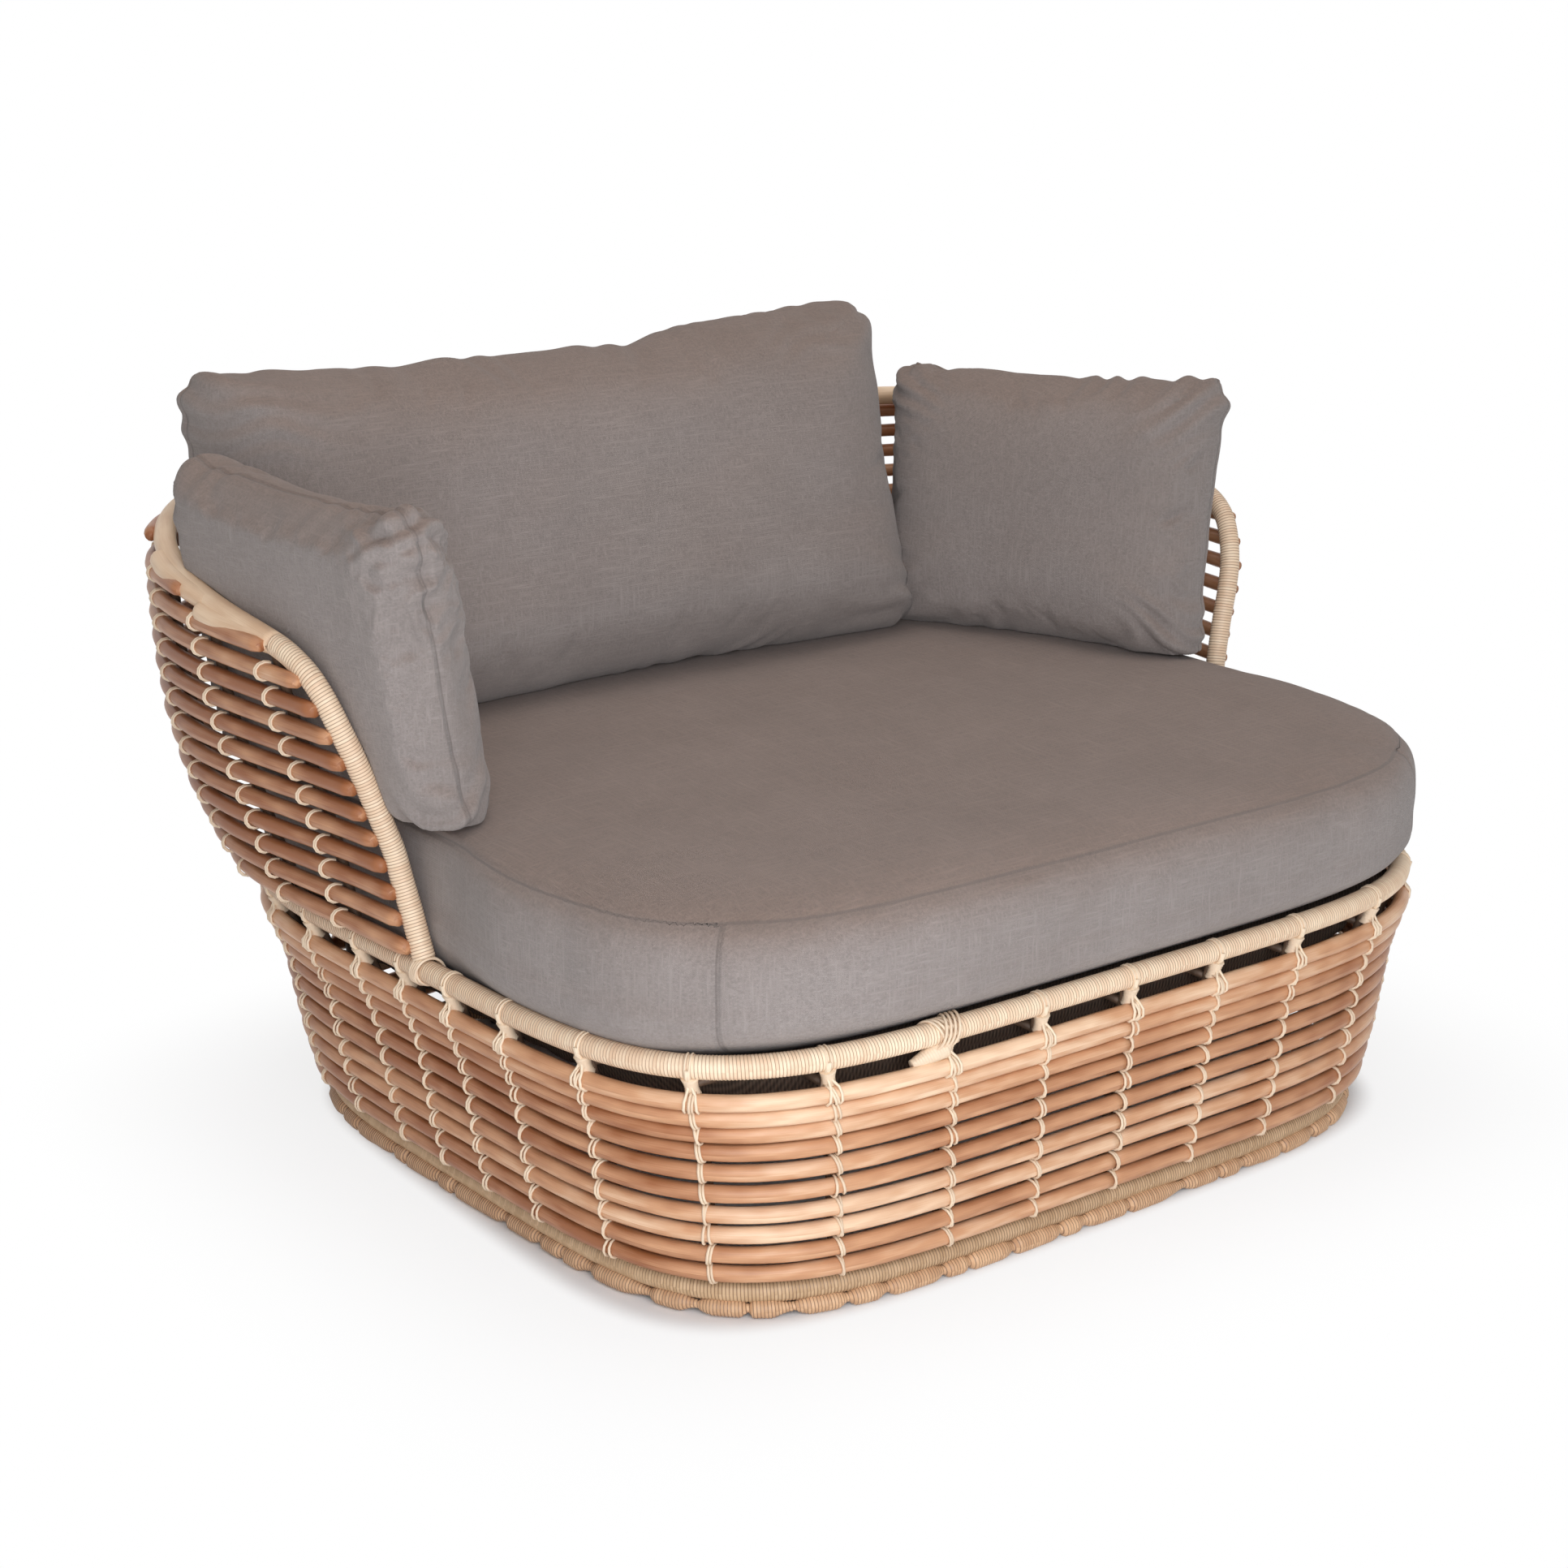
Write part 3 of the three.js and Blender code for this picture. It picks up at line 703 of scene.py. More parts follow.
@dataclass(frozen=True)
class StrapFinish:
    """Woven strap of the seat deck, dark brown with a coarse basket pattern."""

    name: str = "woven_strap"
    dark: Colour = (0.055, 0.035, 0.025)
    light: Colour = (0.17, 0.115, 0.08)
    thread: float = 0.0045
    roughness: float = 0.75

    def material(self) -> Material:
        """Builds the strap's material."""
        shader = Shader(self.name, self.roughness)
        parts = shader.node("ShaderNodeSeparateXYZ", Vector=shader.in_space())
        waves = []
        for part in parts.outputs[:2]:
            waves.append(shader.work("SINE", shader.work("MULTIPLY", part, TURN / self.thread)))
        height = shader.span(shader.work("MULTIPLY", *waves), (-1.0, 1.0))
        shader.paint(shader.ramp(height, (0.1, self.dark), (0.9, self.light)))
        shader.shape(height, 0.0012, 0.7)
        return shader.material


@dataclass(frozen=True)
class CanvasFinish:
    """Slubby outdoor canvas: taupe where it stands up, with painted shade that makes it browner and darker
    on top, and a near black base cloth below about the rim's height that is also a painted shadow.
    """

    name: str = "slub_canvas"
    # Upright and level are lit and shaded copies of the taupe: painted shade makes the level colour of
    # up-facing faces darker and browner.
    upright: Colour = (0.288, 0.248, 0.232)
    level: Colour = (0.208, 0.148, 0.121)
    stitch: Colour = (0.11, 0.09, 0.08)
    # Painted shadow: the near black base cloth below about the rim's height also stands in for the shade in
    # the gap under the rim.
    base_cloth_and_painted_shadow: Colour = (0.020, 0.015, 0.012)
    base_heights: tuple[float, float] = (0.285, 0.291)
    threads: tuple[tuple[float, Colour], ...] = ((0.42, (0.86, 0.86, 0.85)), (0.74, (1.15, 1.15, 1.14)))
    clouds: tuple[tuple[float, Colour], ...] = ((0.3, (0.94, 0.93, 0.92)), (0.7, (1.05, 1.05, 1.05)))
    stitch_share: float = 0.45
    seam_depth: float = 0.0020
    weave_depth: float = 0.0011
    roughness: float = 0.95
    sheen: float = 0.15
    sheen_roughness: float = 0.6
    specular: float = 0.2

    def material(self) -> Material:
        """Builds the canvas."""
        shader = Shader(self.name, self.roughness)
        places = shader.in_space()
        cloth = shader.group(cloth_weave, Vector=places)
        facing = shader.node("ShaderNodeNewGeometry").outputs["Normal"]
        # Painted shade: up-facing faces get the darker, browner level colour.
        upward = shader.span(shader.node("ShaderNodeSeparateXYZ", Vector=facing).outputs["Z"], (0.0, 1.0))
        colour = shader.mix(upward, (*self.upright, 1), (*self.level, 1))
        colour = shader.mix(1.0, colour, shader.ramp(cloth["Slub"], *self.threads), "MULTIPLY")
        colour = shader.mix(1.0, colour, shader.ramp(cloth["Tone"], *self.clouds), "MULTIPLY")
        bumps = []
        for name in ("seam", "upright_seam"):
            line = shader.group(sewn_line, Distance=shader.written(name))
            faint = shader.work("MULTIPLY", line["Line"], self.stitch_share)
            colour = shader.mix(faint, colour, (*self.stitch, 1))
            bumps.append(shader.node("ShaderNodeBump", Height=line["Height"], Distance=self.seam_depth))
        height = shader.node("ShaderNodeSeparateXYZ", Vector=places).outputs["Z"]
        # Painted shadow: near black base cloth below the base heights.
        shader.paint(shader.mix(shader.span(height, self.base_heights), (*self.base_cloth_and_painted_shadow, 1), colour))
        shader.set("Sheen Weight", self.sheen)
        shader.set("Sheen Roughness", self.sheen_roughness)
        shader.set("Specular IOR Level", self.specular)
        bumps.append(shader.shape(cloth["Height"], self.weave_depth, 0.5))
        for under, over in zip(bumps, bumps[1:]):
            shader.tree.links.new(under.outputs["Normal"], over.inputs["Normal"])
        return shader.material


@dataclass(frozen=True)
class GlideFinish:
    """Moulded foot of dark rubber, scuffed grey."""

    name: str = "foot_rubber"
    dark: Colour = (0.022, 0.021, 0.020)
    scuff: Colour = (0.075, 0.07, 0.065)
    scuff_scale: float = 180.0
    roughness: float = 0.7

    def material(self) -> Material:
        """Builds the rubber's material."""
        shader = Shader(self.name, self.roughness)
        scuffs = shader.noise(shader.in_space(), self.scuff_scale, 5.0)
        shader.paint(shader.ramp(scuffs, (0.5, self.dark), (0.75, self.scuff)))
        shader.shape(scuffs, 0.0003, 0.4)
        return shader.material


class Wardrobe:
    """The finished materials, one for each finish."""

    def __init__(self) -> None:
        """Builds every material once."""
        self.wound = WoundFinish().material()
        # The third colour of each wound finish is the painted shade in the grooves between turns.
        skid = ((0.78, 0.50, 0.29), (0.57, 0.33, 0.18), (0.15, 0.075, 0.045))
        foot = ((0.68, 0.47, 0.28), (0.51, 0.33, 0.18), (0.19, 0.10, 0.05))
        self.skid = WoundFinish("skid_cord", *skid).material()
        self.foot_wound = WoundFinish("foot_cord", *foot).material()
        self.peel = PeelFinish().material()
        self.cane = CaneFinish().material()
        self.lash = LashFinish().material()
        self.frame = FrameFinish().material()
        self.strap = StrapFinish().material()
        self.canvas = CanvasFinish().material()
        self.glide = GlideFinish().material()


def dressed(
    made: Object, material: Material, slot: Slot, body: Body, *nodes: str
) -> Object:
    """Gives a piece its material and its body, and hides the CAD nodes that it stands for.

    Args:
        made: The piece.
        material: Its finish.
        slot: The record's slot of that finish. Not used.
        body: The body that it rides on.
        nodes: CAD nodes that it replaces.

    Returns:
        The piece.
    """
    made.data.materials.clear()
    made.data.materials.append(material)
    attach(made, body.value)
    if nodes:
        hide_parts(*nodes)
    log.info("%s: %d faces", made.name, len(made.data.polygons))
    return made


# The basket's wall


@dataclass(frozen=True)
class BasketWall:
    """The surface that the rim, the ribs and the rods follow.

    An angle of 0 is the middle of the right side and a quarter turn on is the middle of the back.
    """

    rim_z: float = 0.284
    rim_half_width: float = 0.562
    rim_depth: float = 0.460
    front_fullness: float = 5.0
    back_fullness: float = 4.7
    splay: float = 0.06
    ring_z: float = 0.027
    side_inset: float = 0.061
    front_inset: float = 0.033
    back_inset: float = 0.042
    base_rises: tuple[float, ...] = (0, 0.3, 0.7, 1)
    base_spreads: tuple[float, ...] = (0, 0.28, 0.54, 1)
    rail_z: float = 0.682
    side_flare: float = 0.078
    back_flare: float = 0.118
    top_fullness: float = 3.7
    rear_turn: float = 0.7
    flare_rises: tuple[float, ...] = (0, 0.15, 0.3, 0.47, 0.62, 0.78, 1)
    arm_flares: tuple[float, ...] = (0, 0.02, 0.1, 0.35, 0.6, 0.8, 1)
    back_flares: tuple[float, ...] = (0, 0.36, 0.62, 0.79, 0.88, 0.94, 1)
    shift_y: float = SHIFT_Y

    def point(self, angle: np.ndarray, z: np.ndarray) -> np.ndarray:
        """Points of the wall's middle line at angles and heights."""
        angle, z = np.broadcast_arrays(np.asarray(angle, float), np.asarray(z, float))
        across, along = np.cos(angle), np.sin(angle)
        below = z <= self.rim_z
        up_base = (z - self.ring_z) / (self.rim_z - self.ring_z)
        drawn = 1 - np.interp(up_base, self.base_rises, self.base_spreads)
        rise = np.clip((z - self.rim_z) / (self.rail_z - self.rim_z), 0, 1.2)
        arm = np.interp(rise, self.flare_rises, self.arm_flares)
        back = np.interp(rise, self.flare_rises, self.back_flares)
        rear = smoothstep(along, 0, self.rear_turn)
        flare = self.side_flare * (arm + (back - arm) * rear)
        half_width = self.rim_half_width + np.where(below, -self.side_inset * drawn, flare)
        front = self.rim_depth + np.where(below, -self.front_inset * drawn, 0)
        behind = self.rim_depth + np.where(below, -self.back_inset * drawn, self.back_flare * back)
        rear_full = self.back_fullness + (self.top_fullness - self.back_fullness) * np.where(below, 0, rise)
        fullness = np.where(along < 0, self.front_fullness, rear_full)
        reach = (np.abs(across) ** fullness + np.abs(along) ** fullness) ** (-1 / fullness)
        y = reach * along * np.where(along < 0, front, behind)
        x = reach * across * half_width * (1 + self.splay * y / self.rim_depth)
        return np.stack([x, y + self.shift_y, z], axis=-1)

    def outward(self, angle: np.ndarray, z: np.ndarray) -> np.ndarray:
        """Level directions out of the wall."""
        nudge = 1e-4
        run = self.point(np.asarray(angle) + nudge, z) - self.point(np.asarray(angle) - nudge, z)
        return unit(np.stack([run[..., 1], -run[..., 0], np.zeros_like(run[..., 0])], axis=-1))

    def upward(self, angle: np.ndarray, z: np.ndarray) -> np.ndarray:
        """Directions up the wall."""
        nudge = 0.004
        return unit(self.point(angle, np.asarray(z) + nudge) - self.point(angle, np.asarray(z) - nudge))

    def outside(self, angle: np.ndarray, z: np.ndarray, distance: float) -> np.ndarray:
        """Points at a distance outside the wall, square to it."""
        out = self.outward(angle, z)
        up = self.upward(angle, z)
        slope = np.sum(up * out, axis=-1, keepdims=True) / up[..., 2:]
        return self.point(angle, z) + out * distance * np.hypot(1, slope)

    def rib(self, angle: float, heights: np.ndarray, radius: float, sides: int) -> np.ndarray:
        """Skin of a rib that follows the wall through heights."""
        run = Run(eased(self.point(angle, heights), 2), self.outward(np.full(len(heights), angle), heights))
        return plain_tube(run, radius, run.whole() / (len(heights) - 1), sides)


@dataclass(frozen=True)
class Stations:
    """Where the ribs stand round the wall, and angles by the length round the rim."""

    wall: BasketWall
    shares: tuple[float, ...] = (
        *(0, 0.065, 0.13, 0.2015, 0.271, 0.333, 0.395, 0.446, 0.4925),
        *(0.539, 0.594, 0.645, 0.696, 0.748, 0.8, 0.867, 0.933, 1),
    )
    front_each_side: int = 3
    arc_steps: int = 2000

    def arcs(self) -> tuple[np.ndarray, np.ndarray]:
        """Angles from the front's middle to the back's, and lengths round the rim there."""
        angles = math.pi * (np.arange(self.arc_steps + 1) / self.arc_steps - 0.5)
        points = self.wall.point(angles, self.wall.rim_z)
        steps = np.linalg.norm(np.diff(points, axis=0), axis=1)
        return angles, np.concatenate([[0], np.cumsum(steps)])

    def at_share(self, share: np.ndarray) -> np.ndarray:
        """Angles at shares of the way from the front's middle round the right side to the back's."""
        angles, lengths = self.arcs()
        return np.interp(np.asarray(share) * lengths[-1], lengths, angles)

    def right(self) -> np.ndarray:
        """Angles of the stations on the right half, front to back."""
        return self.at_share(np.array(self.shares))

    def every(self) -> np.ndarray:
        """Angles of all stations, round once from the middle of the front."""
        right = self.right()
        return np.concatenate([right, math.pi - right[1:-1][::-1]])

    def even_round(self, steps: int) -> np.ndarray:
        """Angles at even lengths round the rim, once round."""
        half = self.at_share(np.linspace(0, 1, steps // 2 + 1))
        return np.concatenate([half, math.pi - half[1:-1][::-1]])


@dataclass(frozen=True)
class RailLine:
    """The line of the arm and back rail, from the right foot over the back to the left foot."""

    wall: BasketWall
    stations: Stations
    foot_z: float = 0.2963
    shares: tuple[tuple[float, float], ...] = (
        *((-0.0535, 0.03), (-0.043, 0.09), (-0.029, 0.18), (-0.019, 0.27), (-0.012, 0.37), (-0.007, 0.46)),
        *((-0.003, 0.54), (0.004, 0.62), (0.0155, 0.695), (0.031, 0.752), (0.058, 0.794), (0.095, 0.817)),
        *((0.144, 0.837), (0.19, 0.858), (0.24, 0.888), (0.3, 0.922), (0.38, 0.958), (0.47, 0.986)),
        *((0.58, 1), (1, 1)),
    )
    samples: int = 8
    even_points: int = 700
    passes: int = 7

    def angle_at(self, place: np.ndarray) -> np.ndarray:
        """Angles at shares of the way from mid side to mid back."""
        return self.stations.at_share(0.5 + 0.5 * np.asarray(place))

    def height_at(self, place: float) -> float:
        """Height of the rail at a share of the way from mid side to mid back."""
        places, rises = zip(*self.shares)
        rise = float(np.interp(place, places, rises))
        return max(self.foot_z, self.wall.rim_z + (self.wall.rail_z - self.wall.rim_z) * rise)

    def half(self) -> tuple[np.ndarray, np.ndarray]:
        """Angles and heights of the right half, smoothly through the shares."""
        knots = np.array(self.shares)
        knots = np.vstack([knots[:1], knots, knots[-1:]])
        t = np.linspace(0, 1, self.samples, endpoint=False)[:, None]
        spots = []
        for a, b, c, d in zip(knots, knots[1:], knots[2:], knots[3:]):
            bend = (2 * a - 5 * b + 4 * c - d) * t**2 + (3 * b - a - 3 * c + d) * t**3
            spots.append(b + 0.5 * ((c - a) * t + bend))
        spots = np.vstack([*spots, knots[-1:]])
        rises = self.wall.rim_z + (self.wall.rail_z - self.wall.rim_z) * np.minimum(spots[:, 1], 1)
        return self.angle_at(np.minimum(spots[:, 0], 1)), np.maximum(rises, self.foot_z)

    def run(self) -> Run:
        """The whole rail as a line with its facings."""
        angles, heights = self.half()
        angles = np.concatenate([angles, math.pi - angles[:-1][::-1]])
        heights = np.concatenate([heights, heights[:-1][::-1]])
        points = self.wall.point(angles, heights)
        facings = self.wall.outward(angles, heights)
        even = Run(points, facings)
        length = np.linspace(0, even.whole(), self.even_points)
        points, facings = even.at(length)
        return Run(eased(points, self.passes), eased(facings, self.passes))


def eased(points: np.ndarray, passes: int) -> np.ndarray:
    """Smooths a line of points, whose ends stay."""
    for _ in range(passes):
        points = np.vstack([points[:1], (points[:-2] + 2 * points[1:-1] + points[2:]) / 4, points[-1:]])
    return points


# The frame's pieces


@dataclass
class WallWork:
    """What every class of pieces on the basket's wall works from."""

    wall: BasketWall
    stations: Stations
    wardrobe: Wardrobe

    def lashed(self, made: Object, tone: float | np.ndarray) -> Object:
        """Tones a piece of lashing cord and dresses it."""
        toned(made, tone)
        return dressed(made, self.wardrobe.lash, Slot.WRAP, Body.FRAME)


@dataclass
class WoundRings(WallWork):
    """The seat rim and the base ring, wound with cord, and the rope skid under them."""

    radius: float = 0.012
    pitch: float = 0.0034
    groove: float = 0.0007
    sides: int = 14
    skid_z: float = 0.0102
    skid_outset: float = 0.0052
    skid_radius: float = 0.0108
    lobe: float = 0.0074
    lobe_pitch: float = 0.054
    lobe_jitter: float = 0.75
    lobe_step: float = 0.16
    lobe_fall: tuple[float, float] = (0.66, 1.0)
    lobe_drop: float = 0.75
    skid_flat: float = 0.92
    skid_sides: int = 12
    noise_reach: float = 9.0
    noise_height: float = 0.5
    binding_radius: float = 0.0011
    binding_gap: float = 0.0004
    binding_places: tuple[float, float] = (-0.0022, 0.0022)
    binding_steps: int = 16
    binding_sides: int = 6
    steps: int = 720

    def ring(self, z: float, distance: float) -> Run:
        """A level line round the wall."""
        angles = self.stations.even_round(self.steps)
        facings = self.wall.outward(angles, z)
        return Run(self.wall.outside(angles, z, distance), facings, closed=True)

    def wound(self, name: str, z: float, finish: Material) -> Object:
        """One wound ring."""
        run = self.ring(z, 0)
        table = wound_tube(run, self.radius, self.pitch, self.groove, self.sides)
        made = skinned(name, table[None], (run.whole(), TURN * self.radius))
        return dressed(made, finish, Slot.WRAP, Body.FRAME, name)

    def skid(self) -> Object:
        """The lobed rope under the base ring, wound in uneven lumps."""
        run = self.ring(self.skid_z, self.skid_outset)
        lobes = round(run.whole() / self.lobe_pitch)

        def swelling(length: np.ndarray) -> np.ndarray:
            """Radius at a length, with a lump at each turn of the rope."""
            share = np.mod(length / run.whole(), 1.0)
            reach, turn = self.noise_reach, TURN * share
            height = np.full_like(turn, self.noise_height)
            around = np.stack([np.cos(turn) * reach, np.sin(turn) * reach, height], -1)
            uneven = noise_along(around.reshape(-1, 3), 1.0).reshape(share.shape)
            place = np.mod(lobes * share + self.lobe_jitter * uneven, 1.0)
            fall = 1 - self.lobe_drop * smoothstep(place, *self.lobe_fall)
            lump = np.sqrt(np.minimum(place / self.lobe_step, 1)) * fall
            return self.skid_radius + self.lobe * (lump - 1 + 0.2 * uneven)

        table = wound_tube(run, swelling, self.pitch, self.groove, self.skid_sides, self.skid_flat)
        made = skinned("skid_ring", table[None], (run.whole(), TURN * self.skid_radius))
        return dressed(made, self.wardrobe.skid, Slot.CANE, Body.FRAME, "skid_ring")

    def bindings(self) -> Object:
        """The double bands round the rim at each rib."""
        angles = self.stations.every()
        spots = self.wall.point(angles, self.wall.rim_z)
        outward = self.wall.outward(angles, self.wall.rim_z)
        along = np.cross(UP, outward)
        tables = []
        for shift in self.binding_places:
            for spot, out, way in zip(spots, outward, along):
                facings = spokes(out, UP, self.binding_steps)
                centre = spot + way * shift + facings * (self.radius + self.binding_gap)
                spread = spokes(facings, np.broadcast_to(way, facings.shape), self.binding_sides)
                tables.append(centre[:, None] + self.binding_radius * spread)
        made = skinned("rim_bindings", np.array(tables), (TURN * self.radius, TURN * self.binding_radius))
        return self.lashed(made, 0.6)

    def build(self) -> None:
        """Makes the rings, the skid and the bindings."""
        self.wound("seat_rim", self.wall.rim_z, self.wardrobe.wound)
        self.wound("base_ring", self.wall.ring_z, self.wardrobe.foot_wound)
        self.skid()
        self.bindings()


@dataclass
class CaneRods(WallWork):
    """The rods round the base and the ones round the sides and back."""

    rail: RailLine
    radius: float = 0.0086
    standoff: float = 0.0144
    base_rise: float = 0.028
    base_span: float = 0.195
    base_shares: tuple[float, ...] = (0, 0.115, 0.235, 0.35, 0.47, 0.59, 0.705, 0.81, 0.905, 1)
    base_tones: tuple[float, ...] = (0.35, 0.3, 0.62, 0.55, 0.25, 0.3, 0.28, 0.35, 0.62, 0.68)
    wall_count: int = 14
    wall_rise: float = 0.024
    wall_pitch: float = 0.027
    rail_reach: float = 0.0145
    step: float = 0.012
    sides: int = 12
    tip: float = 0.72
    tip_reach: float = 0.012
    wobble: float = 0.0006
    wobble_scale: float = 18.0
    tone_swing: float = 0.30
    tone_scale: float = 4.5
    # Painted shade darkens the rods' tone towards the left and right sides, and painted light pales it round
    # a front corner.
    painted_left_shade: float = 0.34
    painted_right_shade: float = 0.26
    painted_corner_light: float = 0.1
    corner: tuple[float, float] = (-0.40, -0.52)
    painted_light_reach: float = 0.24
    base_points: int = 720
    half_points: int = 360
    search_points: int = 401

    def base_heights(self) -> list[float]:
        """Heights of the base rods, the lowest first."""
        foot = self.wall.ring_z + self.base_rise
        return [foot + self.base_span * share for share in self.base_shares]

    def wall_heights(self) -> list[float]:
        """Heights of the wall rods, the lowest first."""
        foot = self.wall.rim_z + self.wall_rise
        return [foot + self.wall_pitch * index for index in range(self.wall_count)]

    def swelling(self, seed: float) -> Callable[[np.ndarray], np.ndarray]:
        """A rod's radius along its length, a little uneven."""

        def radius(length: np.ndarray) -> np.ndarray:
            """Radius at a length."""
            places = [Vector((float(s) * self.wobble_scale, seed, 0)) for s in np.ravel(length)]
            uneven = [noise.noise(place) for place in places]
            return self.radius + self.wobble * np.reshape(uneven, np.shape(length))

        return radius

    def tone_with_painted_light(self, made: Object, seed: float) -> np.ndarray:
        """Stretches of paler and redder cane along a rod, plus painted shade that darkens the sides and
        painted light that pales a front corner.
        """
        points = mesh_points(made.data)
        tone_and_painted_shade = self.tone_swing * noise_along(points + seed, self.tone_scale)
        # Painted shade at the left and right sides, and painted light round the front corner.
        tone_and_painted_shade -= self.painted_left_shade * smoothstep(-points[:, 0], 0.40, 0.50)
        tone_and_painted_shade -= self.painted_right_shade * smoothstep(points[:, 0], 0.1, 0.5)
        away = np.hypot(*(points[:, :2] - np.array(self.corner)).T)
        return tone_and_painted_shade + self.painted_corner_light * np.exp(-((away / self.painted_light_reach) ** 2))

    def base_rod(self, index: int, z: float) -> Object:
        """One closed rod round the base."""
        angles = self.stations.even_round(self.base_points)
        run = Run(self.wall.outside(angles, z, self.standoff), self.wall.outward(angles, z), closed=True)
        name = f"base_rod_{index + 1:02d}"
        table = plain_tube(run, self.swelling(index), self.step, self.sides)
        made = skinned(name, table[None], (run.whole(), TURN * self.radius))
        toned(made, self.base_tones[index] + self.tone_with_painted_light(made, index))
        return dressed(made, self.wardrobe.cane, Slot.CANE, Body.FRAME, name)

    def start_place(self, z: float) -> float:
        """Share of the way to the back where a wall rod clears the rail."""
        line = self.rail.run().points
        for place in np.linspace(self.rail.shares[0][0], 1, self.search_points):
            if self.rail.height_at(float(place)) <= z:
                continue
            spot = self.wall.outside(self.rail.angle_at(place), z, self.standoff)
            if np.min(np.linalg.norm(line - spot, axis=1)) >= self.rail_reach:
                return float(place)
        return 1.0

    def wall_rod(self, index: int, z: float) -> Object:
        """One rod round the sides and back, with rounded ends."""
        half = self.rail.angle_at(np.linspace(self.start_place(z), 1, self.half_points))
        angles = np.concatenate([half, math.pi - half[:-1][::-1]])
        run = Run(self.wall.outside(angles, z, self.standoff), self.wall.outward(angles, z))
        whole, uneven = run.whole(), self.swelling(40 + index)

        def rounded(length: np.ndarray) -> np.ndarray:
            """Radius at a length, smaller at both ends."""
            from_end = np.minimum(length, whole - length)
            return uneven(length) * (self.tip + (1 - self.tip) * smoothstep(from_end, 0, self.tip_reach))

        name = f"wall_rod_{index + 1:02d}"
        table = plain_tube(run, rounded, self.step, self.sides)
        made = skinned(name, table[None], (whole, TURN * self.radius))
        tone = 0.3 + 0.3 * noise.noise(Vector((index * 3.7, 1.5, 0.2)))
        toned(made, tone + self.tone_with_painted_light(made, index + 20))
        return dressed(made, self.wardrobe.cane, Slot.CANE, Body.FRAME, name)

    def build(self) -> None:
        """Makes every rod."""
        for index, z in enumerate(self.base_heights()):
            self.base_rod(index, z)
        for index, z in enumerate(self.wall_heights()):
            self.wall_rod(index, z)


@dataclass
class RibHoops(WallWork):
    """The ribs under the rim, in pairs that a cross bar ties."""

    rib_radius: float = 0.0055
    bar_radius: float = 0.0045
    foot_z: float = 0.0393
    top_z: float = 0.2717
    upper_bar_z: float = 0.2637
    lower_bar_z: float = 0.2544
    sides: int = 10
    steps: int = 23

    def rib(self, angle: float) -> np.ndarray:
        """Skin of one rib."""
        heights = np.linspace(self.foot_z, self.top_z, self.steps + 1)
        return self.wall.rib(angle, heights, self.rib_radius, self.sides)

    def bar(self, one: float, other: float, z: float) -> np.ndarray:
        """Skin of the cross bar between two ribs."""
        ends = self.wall.point(np.array([one, other]), z)
        points = np.linspace(ends[0], ends[1], self.steps + 1)
        run = Run(points, np.tile(UP, (self.steps + 1, 1)))
        return plain_tube(run, self.bar_radius, run.whole() / self.steps, self.sides)

    def hoop(self, name: str, one: float, other: float, z: float) -> Object:
        """One hoop: two ribs and their bar."""
        tables = np.array([self.rib(one), self.rib(other), self.bar(one, other, z)])
        made = skinned(name, tables, (1.0, TURN * self.rib_radius))
        return dressed(made, self.wardrobe.frame, Slot.FRAME, Body.FRAME, name)

    def build(self) -> None:
        """Makes the side hoops, then the long ones."""
        right = self.stations.right()
        front_each = self.stations.front_each_side
        for index, angle in enumerate(right[front_each + 1 : -front_each - 1]):
            self.hoop(f"side_hoop_{index + 1:02d}", angle, math.pi - angle, self.upper_bar_z)
        fronts = np.concatenate([math.pi - right[1 : front_each + 1][::-1], right[: front_each + 1]])
        rears = right[-front_each - 1 :]
        rears = np.concatenate([rears, math.pi - rears])
        rear_x = self.wall.point(rears, self.wall.rim_z)[:, 0]
        for index, angle in enumerate(fronts):
            across = self.wall.point(angle, self.wall.rim_z)[0]
            rear = rears[int(np.argmin(np.abs(rear_x - across)))]
            self.hoop(f"long_hoop_{index + 1:02d}", angle, rear, self.lower_bar_z)


